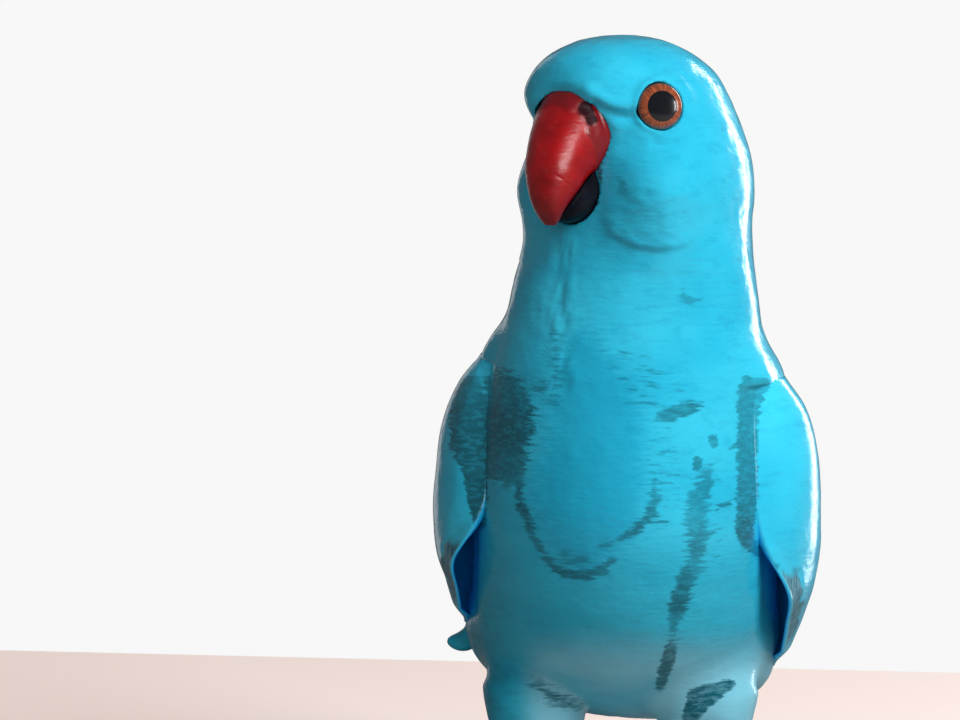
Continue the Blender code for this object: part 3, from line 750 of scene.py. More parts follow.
def soften_thighs(mesh):
    """Runs the thighs into the belly, but for the crease that the photo shows over the right one."""
    points, normals = vertex_arrays(mesh)
    corner = read(mesh.loops, "vertex_index", 1, int)
    sizes = read(mesh.polygons, "loop_total", 1, int)
    flat = np.repeat(read(mesh.polygon_normals, "vector", 3), sizes, axis=0)
    bend = np.ones(len(points))
    np.minimum.at(bend, corner, np.sum(flat * normals[corner], axis=1))
    low = (points[:, 2] > THIGH_HEIGHTS[0]) & (points[:, 2] < THIGH_HEIGHTS[1]) & (points[:, 1] < LEGS_BACK)
    sharp = np.argwhere(low & (bend < math.cos(THIGH_SHARP)))[:, 0]
    finder = KDTree(len(sharp))
    for i in sharp:
        finder.insert(points[i], int(i))
    finder.balance()
    weight = np.zeros(len(points))
    for i in np.argwhere(low)[:, 0]:
        weight[i] = ease(THIGH_BLEND, 1.0, finder.find(points[i])[2])
    across, _ = seen(points)
    kept = ease(CREASE_START - 3, CREASE_START + 1, across) * (points[:, 0] < 0)
    weight *= lerp(1.0, CREASE_KEPT, kept)
    ends = read(mesh.edges, "vertices", 2, int)
    first, second = ends.T
    count = np.bincount(ends.reshape(-1), minlength=len(points))[:, None]
    for _ in range(THIGH_ROUNDS):
        total = [
            np.bincount(first, points[second, axis], len(points))
            + np.bincount(second, points[first, axis], len(points))
            for axis in range(3)
        ]
        points = points + THIGH_STRENGTH * weight[:, None] * (np.stack(total, axis=1) / count - points)
    mesh.vertices.foreach_set("co", in_frame(points).reshape(-1))
    mesh.update()


def beak_seat():
    """The upper beak's form with room round it, to cut from the pieces that it touches."""
    return loft(in_frame(beak_rings(80, 64, clearance)[0]), "beak_seat")


clearance = SEAM / UNIT
body = link("body_casting", loft(in_frame(body_rings()), "body_casting"))
limbs = []
for side in (1, -1):
    limbs.append(loft(in_frame(leg_rings(side)), "leg"))
    limbs += [loft(in_frame(toe_rings(side, *strand)), "toes") for strand in TOE_STRANDS]
carve(body, limbs, "UNION")
soften_thighs(body.data)
seats = [beak_seat(), loft(in_frame(lower_beak_rings(40, 48, clearance)), "lower_beak_seat")]
SOCKET_DEPTH = 3.5
for side in (1, -1):
    socket_profile = [(EYE_RADIUS + clearance, -SOCKET_DEPTH), (EYE_RADIUS + clearance, 2 * EYE_RADIUS)]
    seats.append(loft(in_frame(disc_rings(*eye_axis(side), socket_profile, 96)), "socket"))
carve(body, seats, "DIFFERENCE")

# Stains that the gloss has taken, with a few strips of painted shade and shadow in creases and along edges:
# across and up as seen in the photo, half width, strength. The number after each path is how ragged the edge
# is: 1 is combed out sideways by the brush, and 0.3 is clean.
STAINS_AND_SHADES = (
    # left of the chest and down the seam of the wing
    (((-24, 88.6, 4.2, 0.7), (-23.4, 84, 6, 0.85), (-23.4, 79, 5.9, 0.9), (-24, 74.8, 4.8, 0.75)), 1.3),
    (((-20.4, 87.6, 0.5, 0.6), (-14.8, 89.6, 0.7, 0.6)), 0.9),
    (((-22.4, 75.6, 4.2, 0.6), (-22, 71, 2.4, 0.25)), 1.4),
    (((-30.4, 88.6, 2.8, 0.7), (-30.6, 84, 4, 0.9), (-30.6, 78, 3.9, 0.95), (-29.6, 73, 2.7, 0.95)), 0.6),
    (((-29.6, 73, 2.7, 0.95), (-28.8, 66, 2, 1), (-28.5, 62, 1.4, 1)), 0.4),
    # wavy border low on the chest
    (((-20.8, 71.5, 0.9, 0.6), (-20.4, 66, 1, 0.9), (-18.6, 61.4, 1, 0.8)), 0.7),
    (((-18.9, 60.8, 0.7, 0.6), (-15.2, 55, 0.8, 0.7), (-12.8, 52.4, 0.9, 0.8), (-7.4, 51, 1.2, 0.75)), 0.6),
    (((-7.4, 51, 1.2, 0.75), (-4.2, 52.3, 1, 0.7), (-1.6, 54.3, 0.6, 0.6)), 0.6),
    (((-4.2, 57.2, 0.5, 0.5), (0, 59, 0.7, 0.65), (2.8, 60.4, 0.9, 0.8), (5.4, 63, 1.2, 0.8)), 0.8),
    (((5.4, 63, 1.2, 0.8), (6.6, 66, 0.9, 0.6), (6.4, 71, 0.4, 0.4)), 1),
    (((5.4, 62.6, 0.8, 0.75), (8.8, 61.6, 0.8, 0.7)), 0.6),
    (((-11.6, 55, 1.2, 0.35), (-8, 54.4, 1.3, 0.4)), 1),
    # lozenge and drops high on the chest
    (((7.2, 83.2, 0.8, 0.6), (10, 83.6, 1.5, 0.7), (13.4, 85, 1.5, 0.75), (15.8, 85.6, 0.7, 0.8)), 0.45),
    (((0.6, 86, 0.3, 0.35), (7.4, 86.4, 0.3, 0.5)), 0.5),
    (((18.2, 78.6, 1.1, 0.6), (18.4, 77.8, 1, 0.6)), 0.3),
    (((15.2, 74.4, 1.1, 0.7), (15, 73.4, 1, 0.7)), 0.3),
    # the long run down the right of the chest and the belly
    (((17.6, 72.8, 0.6, 0.5), (16.6, 70.2, 1.9, 0.6), (15.6, 67, 2.2, 0.6), (14.4, 63.4, 2.4, 0.5)), 1.1),
    (((14.4, 63.4, 2.4, 0.5), (15, 59.6, 2.3, 0.7), (15, 56.4, 1.9, 0.7), (14.2, 53, 1.7, 0.5)), 1.2),
    (((13, 51.4, 1.9, 0.75), (12, 48, 2.2, 0.85), (11.2, 45, 1.8, 0.9), (10.4, 42, 1.1, 0.5)), 0.8),
    (((10.6, 42, 0.9, 0.6), (9.8, 37.6, 0.9, 0.65)), 1),
    (((9.6, 36.4, 1.4, 0.9), (8.8, 33.6, 1.5, 0.95), (7.6, 29, 1, 0.85)), 0.4),
    # down the front edge of the left wing
    (((28.2, 89.6, 1.6, 0.5), (26.2, 88.8, 3, 0.6), (25.2, 84, 2.4, 0.62)), 0.5),
    (((25.2, 84, 2.3, 0.62), (25, 76, 2.1, 0.66), (25, 66, 2.2, 0.72), (24.4, 61, 2, 0.9)), 0.5),
    # its lower end turns along the wing's free edge as a painted shadow
    (((24.4, 61, 1.9, 0.9), (24.8, 58.4, 1.6, 0.9), (27.6, 55.8, 1.1, 0.8), (30.4, 53.4, 0.8, 0.6)), 0.5),
    (((21.4, 77, 0.35, 0.7), (24.6, 77.4, 0.4, 0.7)), 0.3),
    (((19, 64.8, 0.5, 0.7), (21.8, 66.2, 0.5, 0.8)), 0.4),
    # patch over the leg
    (((13.8, 23.6, 2, 1), (15.4, 26.6, 2.6, 1), (18.6, 28, 1.9, 1), (21.8, 29.8, 1, 1)), 0.35),
    # painted shade in the crease over the right thigh
    (((-18.5, 30.2, 0.4, 0.7), (-14, 27.6, 1.1, 0.85), (-10.4, 26, 1, 0.8), (-7.4, 25.2, 0.4, 0.5)), 1.3),
    # shade of the hook on the cheek
    (((-4.6, 135.6, 0.9, 0.9), (-5.4, 131, 1.5, 1), (-6.4, 126.2, 1.6, 1), (-9.6, 122.6, 1.2, 1)), 0.4),
    # throat, cheek and neck
    (((-13.2, 99.8, 0.7, 0.45), (-13, 93, 0.8, 0.5), (-13.6, 86, 0.9, 0.4)), 1),
    (((-0.2, 130, 0.7, 0.4), (0.2, 128.4, 0.9, 0.4)), 0.9),
    (((12.4, 107.4, 0.7, 0.45), (13.8, 106, 1.1, 0.5), (15.2, 106.4, 0.5, 0.4)), 1),
)
# Broad patches that only comb marks show in: across, up, half width, strength.
BRUSHED = (
    ((-4, 96, 1, 0.5), (3, 92, 4, 0.5), (8, 88, 4, 0.5)),
    ((8, 80, 2, 0.45), (8.4, 72, 3.4, 0.5), (8, 64, 3, 0.5)),
    ((17.4, 70, 2.4, 0.5), (18.6, 62, 3.4, 0.55), (18, 54, 2.4, 0.5)),
)
# The deeper blue bib on the chest: across, up, half width.
BIB = ((-8, 97, 5), (-5.6, 88, 9.6), (-6, 72, 12.6), (-7, 60, 10.6), (-8, 54.6, 5))


# What a point's distance inside a stain is where there is none.
OUTSIDE = -9.0


def stain_and_shade_values(points, facing):
    """How far inside a stain or a strip of painted shade each point is, over the raggedness of its edge, and
    its strength.
    """
    across, up = seen(points)
    reach = np.full(across.shape, OUTSIDE)
    strength = np.zeros(across.shape)
    for path, ragged in STAINS_AND_SHADES:
        away, values = path_distance(across, up, path)
        here = (values[:, 0] - away) / ragged
        weight = ease(-2.5, 0.5, here)
        strength = np.maximum(strength, values[:, 1] * weight)
        reach = np.maximum(reach, here)
    for path in BRUSHED:
        away, values = path_distance(across, up, path)
        here = np.minimum(values[:, 0] - away, 0.0) * 0.6 - 0.55
        strength = np.maximum(strength, values[:, 1] * ease(-1.4, -0.6, here))
        reach = np.maximum(reach, here)
    return np.where(facing, reach, OUTSIDE), np.where(facing, strength, 0.0)


def write_attribute(mesh, name, values):
    """Stores one number for each vertex."""
    mesh.attributes.new(name, "FLOAT", "POINT").data.foreach_set("value", values.astype(np.float32))


# Wing edges, also needed for the navy and painted shade behind them: how far along, then height and bearing
# (degrees from the front) of the front edge and of the rear edge, swell, how far the front edge stands off
# the body.
WING_LINES = (
    (0.00, 93.4, 60, 93.4, 116, 0.24, 0.00),
    (0.12, 86.5, 57, 88.0, 146, 0.74, 0.00),
    (0.30, 77.5, 57, 78.5, 163, 1.00, 0.00),
    (0.46, 67.0, 57, 68.0, 168, 1.00, 0.04),
    (0.56, 60.5, 58, 61.0, 170, 0.96, 0.40),
    (0.68, 54.0, 61, 54.0, 171, 0.82, 1.00),
    (0.80, 47.5, 65, 47.5, 171, 0.54, 1.00),
    (0.92, 41.5, 70, 41.5, 169, 0.24, 1.00),
    (1.00, 37.6, 78, 37.2, 164, 0.06, 1.00),
)
# How many degrees further back the left wing's front edge is, and how much lower its end hangs.
LEFT_WING_TURN, LEFT_WING_DROP = 5, 5.5
# Where the navy on the flank, painted shade in the hollow under each wing, starts and ends: heights, degrees
# before and past the wing's front edge, and at the back degrees from the front.
HOLLOW_FOOT, HOLLOW_TOP = (38, 45), (66, 60)
HOLLOW_BLUR = -11, 7
HOLLOW_REAR = 150, 138
# From where to where the tail's own blue comes in, and the heights between which the shanks turn bare.
TAIL_BLUE = 40, 95
BARE_SHANK = 10.6, 8.6


def paint_body(mesh):
    """Writes where the body's paint is stained or painted with shade, deeper, paler with patina and painted
    bounce light, navy with painted shade, or bare.
    """
    points, normals = vertex_arrays(mesh)
    across, up = seen(points)
    height = points[:, 2]
    facing = normals @ BACKWARDS > -0.12
    reach, strength = stain_and_shade_values(points, facing)
    write_attribute(mesh, "stain_and_shade_reach", reach)
    write_attribute(mesh, "stain_and_shade_strength", strength)
    away, values = path_distance(across, up, BIB)
    write_attribute(mesh, "bib_reach", np.where(facing, values[:, 0] - away, OUTSIDE))
    trunk = BODY_SECTIONS[BELLY_ROW:SHOULDER_ROW]
    half, front, back = (np.interp(height, trunk[:, 0], trunk[:, i]) for i in (4, 5, 2))
    bearing = np.degrees(np.arctan2(np.abs(points[:, 0]) / half, (back - points[:, 1]) / front))
    lines = np.array(WING_LINES)[::-1]
    edge = np.interp(height, lines[:, 1], lines[:, 2]) + LEFT_WING_TURN * (points[:, 0] > 0)
    hollow = ease(edge + HOLLOW_BLUR[0], edge + HOLLOW_BLUR[1], bearing)
    hollow *= ease(*HOLLOW_FOOT, height) * ease(*HOLLOW_TOP, height) * ease(*HOLLOW_REAR, bearing)
    write_attribute(mesh, "hollow", hollow)
    # Paler paint low on the belly and its sides: partly patina, partly painted light bounced up from the
    # table.
    pale = ease(42, 31, up) * ease(1.0, 0.6, np.abs(normals[:, 2])) * ease(-22, -15, across)
    write_attribute(mesh, "pale", pale * facing)
    write_attribute(mesh, "bare", ease(*BARE_SHANK, height) * (points[:, 1] < LEGS_BACK))
    claw = np.zeros(len(points))
    for side in (1, -1):
        ankle = np.array(LEG_SECTIONS[-1][1:3])
        offset = points[:, :2] - ankle * (side, 1)
        for tip in [tip for strand in TOE_STRANDS for tip in strand[:2]]:
            run = (np.array(tip) - ankle) * (side, 1)
            share = (offset @ run) / (run @ run)
            beside = np.linalg.norm(offset - share[:, None] * run, axis=1)
            claw = np.maximum(claw, ease(0.95, 1.0, share) * (beside < 2.5) * (height < 6))
    write_attribute(mesh, "claw", claw)
    write_attribute(mesh, "tail", ease(*TAIL_BLUE, points[:, 1]))


def attribute(tree, name):
    """The value of one of the mesh's own attributes."""
    return node(tree, "ShaderNodeAttribute", attribute_name=name).outputs["Fac"]


def remap(tree, value, low, high, to_low=0.0, to_high=1.0, smooth=True):
    """Turns one range of values into another."""
    inputs = {"Value": value, "From Min": low, "From Max": high, "To Min": to_low, "To Max": to_high}
    kind = "SMOOTHSTEP" if smooth else "LINEAR"
    return node(tree, "ShaderNodeMapRange", inputs, interpolation_type=kind).outputs["Result"]


def math_node(tree, operation, first, second):
    """Arithmetic on two values."""
    return node(tree, "ShaderNodeMath", {0: first, 1: second}, operation=operation).outputs[0]


# Paint colours, as linear red, green and blue.
CYAN = (0.018, 0.44, 0.65)
CYAN_LIGHT = (0.036, 0.52, 0.72)
CYAN_DEEP = (0.005, 0.33, 0.52)
# Pale cyan low down: partly patina, partly painted bounce light.
CYAN_PALE = (0.23, 0.49, 0.58)
# The dark teal of the stains, also used for painted shade and shadow.
STAIN_AND_SHADE_TINT = (0.006, 0.088, 0.122)
# Navy under the wings: the shells' inner paint, and painted shade in the hollow of the flank.
NAVY_AND_HOLLOW_SHADE = (0.004, 0.34, 0.80)
# From where up to where the belly's dull paint turns glossy, and where its darker paint low down fades, in
# metres.
DULL_BELLY = 0.045, 0.085
# From where to where across the bird the painted shade on its right side, away from the key light, ends, in
# metres.
SHADED_SIDE = -0.034, -0.012


def gloss_paint(name):
    """The cyan paint under brushed gloss: clouds, level brush lines, scuffs, the bib, darker paint low down,
    painted shade on the right side, and stains with strips of painted shade.
    """
    material, tree, shader = new_material(name)
    place = node(tree, "ShaderNodeTexCoord").outputs["Object"]
    place = node(tree, "ShaderNodeSeparateXYZ", {"Vector": place}).outputs
    side, height = place["X"], place["Z"]
    clouds = stretched_noise(tree, (45, 45, 60), detail=2.0)
    colour = ramp(tree, clouds, [(0.3, CYAN), (0.72, CYAN_LIGHT)])
    lines = stretched_noise(tree, (120, 120, 1500), detail=4.0, roughness=0.65)
    line_tint = ramp(tree, lines, [(0.25, (0.86, 0.92, 0.94)), (0.58, (1, 1, 1))])
    patchy = remap(tree, stretched_noise(tree, (70, 70, 100), 2.0), 0.42, 0.62, 0.2, 1.0)
    colour = mixed(tree, patchy, colour, line_tint, "MULTIPLY")
    scuffs = stretched_noise(tree, (170, 170, 480), 6.0, 0.7)
    scuff_tint = ramp(tree, scuffs, [(0.32, (0.78, 0.87, 0.90)), (0.5, (1, 1, 1))])
    colour = mixed(tree, 1.0, colour, scuff_tint, "MULTIPLY")
    ragged = remap(tree, stretched_noise(tree, (260, 260, 1500), 4.0, 0.6), 0.28, 0.72, -1.5, 1.5, False)
    bib = math_node(tree, "ADD", math_node(tree, "MULTIPLY", attribute(tree, "bib_reach"), 0.5), ragged)
    colour = mixed(tree, remap(tree, bib, -1.0, 2.4, 0.0, 0.72), colour, CYAN_DEEP)
    # The paint gets darker towards the bottom of the belly, and painted shade darkens the bird's right side,
    # away from the key light.
    darker_low_down = remap(tree, height, *DULL_BELLY, 0.6, 0.0)
    side_shade_and_low_darkening = math_node(tree, "ADD", darker_low_down, remap(tree, side, *SHADED_SIDE, 0.5, 0.0))
    colour = mixed(tree, math_node(tree, "MULTIPLY", side_shade_and_low_darkening, scuffs), colour, STAIN_AND_SHADE_TINT)
    # Paler low down: partly patina, partly painted light bounced up from the table.
    colour = mixed(tree, remap(tree, attribute(tree, "pale"), 0, 1, 0, 0.7, False), colour, CYAN_PALE)
    # Stains, with the strips of painted shade and shadow that are listed among them.
    inside = math_node(tree, "ADD", attribute(tree, "stain_and_shade_reach"), ragged)
    mottled = remap(tree, stretched_noise(tree, (380, 380, 1200), 5.0, 0.7), 0.36, 0.56, 0.68, 1.0)
    strength = math_node(tree, "MULTIPLY", attribute(tree, "stain_and_shade_strength"), mottled)
    mask = math_node(tree, "MULTIPLY", remap(tree, inside, -0.55, 0.8), strength)
    colour = mixed(tree, mask, colour, STAIN_AND_SHADE_TINT)
    brushed = bump(tree, lines, 0.00010, patchy)
    dimples = bump(tree, stretched_noise(tree, (420, 420, 900), 4.0), 0.00014, 0.9, brushed)
    look = {
        "Base Color": colour,
        "Roughness": 0.4,
        "Specular IOR Level": 0.06,
        "Coat Weight": remap(tree, height, *DULL_BELLY, 0.35, 1.0),
        "Coat Roughness": 0.05,
        "Coat IOR": 1.5,
        "Normal": dimples,
        "Coat Normal": dimples,
    }
    feed(tree, shader, look)
    return material, tree, shader, colour


def over(tree, shader, attribute_name, colour, tint):
    """Lays one more colour over the paint where an attribute says so."""
    covered = mixed(tree, attribute(tree, attribute_name), colour, tint)
    feed(tree, shader, {"Base Color": covered})
    return covered


def joined(meshes, name):
    """Several meshes as one, with their attributes."""
    things = [link(f"{name}_{i}", mesh) for i, mesh in enumerate(meshes)]
    with bpy.context.temp_override(
        active_object=things[0], selected_objects=things, selected_editable_objects=things
    ):
        bpy.ops.object.join()
    things[0].name = name
    return things[0]


# Coverts: small overlapping feathers over the root of the tail, in rows: place across of each row's feathers.
COVERT_ROWS = ((-7, 0, 7), (-9.6, -3.4, 3.4, 9.6), (-6.4, 0, 6.4), (-9, -3.2, 3.2, 9), (-5.6, 0, 5.6))
COVERT_LENGTH, COVERT_HALF_WIDTH, COVERT_HALF_THICKNESS = 11.5, 3.7, 0.75
COVERT_SHAFT_RISE, COVERT_SHAFT_WIDTH = 0.16, 0.3
COVERT_TILT, COVERT_SUNK = math.radians(6), 0.1
COVERT_VARIATION, COVERT_SEED = 0.08, 5


def covert_mesh():
    """One covert, lying along the second axis from its root, with a raised shaft."""
    share = np.linspace(0, 1, 16)[:, None]
    turns = turns_round(20, 0.5)
    outline = np.sqrt(np.maximum(1 - share**5, 0.02)) * lerp(0.5, 1.0, ease(0, 0.4, share))
    wide = COVERT_HALF_WIDTH * outline * np.cos(turns)
    deep = COVERT_HALF_THICKNESS * outline * np.sin(turns)
    deep = deep + COVERT_SHAFT_RISE * bell(wide, COVERT_SHAFT_WIDTH) * np.sign(np.sin(turns))
    return loft(stacked(wide, share * COVERT_LENGTH, deep) * UNIT, "covert")


def covert_places():
    """A point for each covert on the rump, with the turn that lays it down towards the tail."""
    places, turnings = [], []
    for knot, row in zip(np.linspace(KNOTS[BELLY_ROW], KNOTS[RUMP_ROW], len(COVERT_ROWS)), COVERT_ROWS):
        half_width = smooth_rows(KNOTS, BODY_SECTIONS, knot)[4]
        for across in row:
            bearing = math.pi - math.asin(across / half_width)
            here = skin(np.array(knot), np.array(bearing))
            behind, before = (skin(np.array(knot + step), np.array(bearing)) for step in (-1.0, 1.0))
            sideways = skin(np.array(knot), np.array(bearing - 0.05)) - here
            out = Vector(np.cross(sideways, behind - before)).normalized()
            onward = Vector(behind - before).normalized()
            if out.z < 0:
                out = -out
            along = onward * math.cos(COVERT_TILT) + out * math.sin(COVERT_TILT)
            upright = along.cross(out).normalized().cross(along)
            turning = Matrix((along.cross(upright), along, upright)).transposed()
            places.append(in_frame(here - np.array(out) * COVERT_SUNK).tolist())
            turnings += turning.to_euler()[:]
    mesh = bpy.data.meshes.new("covert_rows")
    mesh.from_pydata(places, [], [])
    mesh.attributes.new("turn", "FLOAT_VECTOR", "POINT").data.foreach_set("vector", turnings)
    return mesh


def covert_group():
    """The node group that lays one covert at every point, each a little larger or smaller."""
    group = bpy.data.node_groups.new("coverts_in_rows", "GeometryNodeTree")
    kinds = {"Rows": "Geometry", "Covert": "Object", "Variation": "Float", "Seed": "Int", "Paint": "Material"}
    for name, kind in kinds.items():
        group.interface.new_socket(name=name, in_out="INPUT", socket_type=f"NodeSocket{kind}")
    group.interface.new_socket(name="Coverts", in_out="OUTPUT", socket_type="NodeSocketGeometry")
    given = group.nodes.new("NodeGroupInput").outputs
    covert = node(group, "GeometryNodeObjectInfo", {"Object": given["Covert"]}).outputs["Geometry"]
    turn = node(group, "GeometryNodeInputNamedAttribute", {"Name": "turn"}, data_type="FLOAT_VECTOR")
    turn = node(group, "FunctionNodeEulerToRotation", {"Euler": turn.outputs["Attribute"]}).outputs[0]
    smallest = math_node(group, "SUBTRACT", 1.0, given["Variation"])
    largest = math_node(group, "ADD", 1.0, given["Variation"])
    sizes = {2: smallest, 3: largest, "Seed": given["Seed"]}
    size = node(group, "FunctionNodeRandomValue", sizes).outputs[1]
    laying = {"Points": given["Rows"], "Instance": covert, "Rotation": turn, "Scale": size}
    laid = node(group, "GeometryNodeInstanceOnPoints", laying).outputs["Instances"]
    real = node(group, "GeometryNodeRealizeInstances", {"Geometry": laid}).outputs["Geometry"]
    painted = node(group, "GeometryNodeSetMaterial", {"Geometry": real, "Material": given["Paint"]})
    node(group, "NodeGroupOutput", {"Coverts": painted.outputs["Geometry"]})
    return group


def laid_coverts(paint):
    """All the coverts as one mesh."""
    rows, covert = link("covert_rows", covert_places()), link("covert", covert_mesh())
    laying = rows.modifiers.new("coverts", "NODES")
    laying.node_group = covert_group()
    values = {"Covert": covert, "Variation": COVERT_VARIATION, "Seed": COVERT_SEED, "Paint": paint}
    for item in laying.node_group.interface.items_tree:
        if item.in_out == "INPUT" and item.name in values:
            laying[item.identifier] = values[item.name]
    mesh = applied(rows)
    for helper in (rows, covert):
        bpy.data.objects.remove(helper)
    points, _ = vertex_arrays(mesh)
    for name in ("stain_and_shade_reach", "bib_reach"):
        write_attribute(mesh, name, np.full(len(points), OUTSIDE))
    write_attribute(mesh, "tail", ease(*TAIL_BLUE, points[:, 1]))
    return mesh


paint_body(body.data)
material, tree, shader, colour = gloss_paint("cyan_gloss_paint")
tail_lines = stretched_noise(tree, (900, 40, 900), 3.0)
tail_blue = ramp(tree, tail_lines, [(0.35, (0.012, 0.20, 0.42)), (0.65, (0.022, 0.30, 0.56))])
colour = over(tree, shader, "tail", colour, tail_blue)
# Navy as painted shade in the hollow of the flank under each wing.
colour = over(tree, shader, "hollow", colour, NAVY_AND_HOLLOW_SHADE)
scale_noise = stretched_noise(tree, (500, 500, 500))
scales = ramp(tree, scale_noise, [(0.3, (0.16, 0.13, 0.12)), (0.7, (0.30, 0.25, 0.23))])
colour = over(tree, shader, "bare", colour, scales)
over(tree, shader, "claw", colour, (0.03, 0.026, 0.026))
casting = body.data
bpy.data.objects.remove(body)
body = joined([casting, laid_coverts(material)], "body_casting")
body.data.materials.clear()
body.data.materials.append(material)
body.data.shade_smooth()
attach(body, "root")
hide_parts("parrot_body")


# Wings: two thin resin shells glued to the flanks along a seam. Low down the front edge stands off the body,
# so the navy inside shows, partly the shell's inner paint and partly painted shade, and there the paint has
# torn to a grey fibrous strip along the rim.
# How many degrees further back the right wing's front edge is, at these places along it.
RIGHT_WING_TURNS = (0.0, 0.12, 0.30, 0.46, 0.56), (22, 14.5, 6, 1, 0)
WING_ROLL_REACH = 31
WING_SWELL, WING_WALL, WING_EDGE, WING_RIM = 7.9, 1.7, 1.0, 0.6
WING_SEAM_STEP, WING_SEAM_DEPTH = 0.12, 0.9
SWELL_FLUSH = ((0, 0.0), (0.1, 0.52), (0.28, 1.0), (0.5, 0.86), (0.75, 0.52), (1, 0.16))
SWELL_LIFTED = ((0, 0.86), (0.1, 0.95), (0.28, 1.0), (0.5, 0.86), (0.75, 0.52), (1, 0.16))
HOLLOW_FROM, HOLLOW_FULL = 0.44, 0.60
HOLLOW_BACK, HOLLOW_END = 0.50, 0.85
WING_CLOSES = 0.9
WING_ROWS, WING_COLUMNS = 150, 150
# The flight feathers in the wing's relief: how many side by side, their slant, groove depth and shaft height.
FEATHER_COUNT, FEATHER_SLANT, FEATHER_GROOVE, FEATHER_SHAFT = 6.5, 1.1, 0.42, 0.13
# The torn strip's width and depth, and where along the free edge it starts and ends.
TORN_WIDTH, TORN_DEPTH = 0.075, 0.22
TORN_START, TORN_END = (0.60, 0.63), (0.9, 0.84)
# Flight feathers past each wing's end: root, bend and tip (out from the midline, back, up), half width, half
# thickness.
TUCKED_FEATHERS = (
    ((14, 34, 50), (12, 43, 37), (6, 65, 27), 5.0, 1.1),
    ((20.5, 30, 48), (18, 40, 35.5), (12.5, 57, 26.5), 4.8, 1.1),
)
FLARED_FEATHERS = (
    ((14.5, 34, 50), (12.5, 43, 37), (7.5, 62, 28), 5.0, 1.1),
    ((32.5, 22, 45), (31.2, 28, 30.4), (39.4, 27, 32.6), 2.4, 2.3),
)
BLADE_SHAFT_RISE, BLADE_SHAFT_WIDTH = 0.3, 0.45
BLADE_ROWS, BLADE_COLUMNS = 60, 36


def flank(knot, bearing):
    """Points of the surface under the mantle's lip, and the directions straight out of it."""
    step = 0.02
    rising = skin(knot + 1, bearing, False) - skin(knot - 1, bearing, False)
    turning = skin(knot, bearing + step, False) - skin(knot, bearing - step, False)
    out = np.cross(turning, rising)
    return skin(knot, bearing, False), unit(out)


def knot_at_level(level, bearing):
    """Where along the body its surface reaches this level, with the shoulders' roll let off."""
    level = level - WING_ROLL_REACH * np.sin(bearing) * math.sin(SHOULDER_ROLL)
    low, high = (np.full(level.shape, KNOTS[row]) for row in (RUMP_ROW, NECK_ROW))
    for _ in range(22):
        middle = (low + high) / 2
        below = skin(middle, bearing, False)[..., 2] < level
        low, high = np.where(below, middle, low), np.where(below, high, middle)
    return low


def wing_grids(side):
    """One wing's outer and inner face in drawing units, and how far along and across it each point is."""
    lines = np.array(WING_LINES)
    along = np.linspace(0, 1, WING_ROWS)[:, None]
    across = np.linspace(0, 1, WING_COLUMNS)[None, :]
    values = smooth_rows(lines[:, 0], lines[:, 1:], along[:, 0])[:, None, :]
    front_up, front_turn, rear_up, rear_turn, swell, lift = np.moveaxis(values, -1, 0)
    turn, fall = (LEFT_WING_TURN, LEFT_WING_DROP) if side > 0 else (np.interp(along, *RIGHT_WING_TURNS), 0)
    bearing = side * np.radians(lerp(front_turn + turn, rear_turn, across))
    knot = knot_at_level(lerp(front_up, rear_up, across) - fall * along**2, bearing)
    flush, lifted = (
        smooth_rows([p[0] for p in pairs], [p[1:] for p in pairs], across[0])[None, :, 0]
        for pairs in (SWELL_FLUSH, SWELL_LIFTED)
    )
    step = lerp(WING_SEAM_STEP, WING_EDGE, np.maximum(lift, ease(0, 0.1, across)))
    stand = step + (WING_SWELL - WING_EDGE) * swell * lerp(flush, lifted, lift)
    closing = ease(1.0, WING_CLOSES, along)
    stand = stand * lerp(0.2, 1.0, closing)
    hollow = ease(HOLLOW_FROM, HOLLOW_FULL, along) * ease(HOLLOW_END, HOLLOW_BACK, across) * closing
    wall = lerp(WING_RIM, WING_WALL, ease(0, 0.3, across))
    root, out = flank(knot, bearing)
    outer = root + out * (stand + wing_relief(root, along, across))[..., None]
    inner = root + out * lerp(-WING_SEAM_DEPTH, stand - wall, hollow)[..., None]
    return outer, inner, *np.broadcast_arrays(along, across)


def wing_relief(points, along, across):
    """The wing's outer relief: long flight feathers behind, and the torn strip near the free edge."""
    feathers = (across * FEATHER_COUNT + along * FEATHER_SLANT) % 1
    gap = 0.5 - np.abs(feathers - 0.5)
    shown = ease(0.36, 0.6, across) * ease(0.28, 0.5, along)
    rise = FEATHER_SHAFT * bell(feathers - 0.45, 0.05) - FEATHER_GROOVE * bell(gap, 0.06)
    rise = (rise - 0.25 * feathers * ease(0, 0.1, gap)) * shown
    rise = rise + 0.05 * soft_noise(points, 3.2, 31) + 0.12 * soft_noise(points, 8.0, 32)
    fibres = soft_noise(points * np.array([1, 1, 0.2]), 0.8, 33)
    return rise + (0.1 * fibres - TORN_DEPTH) * torn_strip(points, along, across)


def torn_strip(points, along, across):
    """Where the paint has torn away beside the wing's free edge."""
    ragged = 0.02 * soft_noise(points, 1.6, 34) + 0.014 * soft_noise(points, 4.0, 35)
    width = TORN_WIDTH + ragged
    strip = ease(0.006, 0.014, across) * ease(width + 0.012, width, across)
    return strip * ease(*TORN_START, along + ragged) * ease(*TORN_END, along)


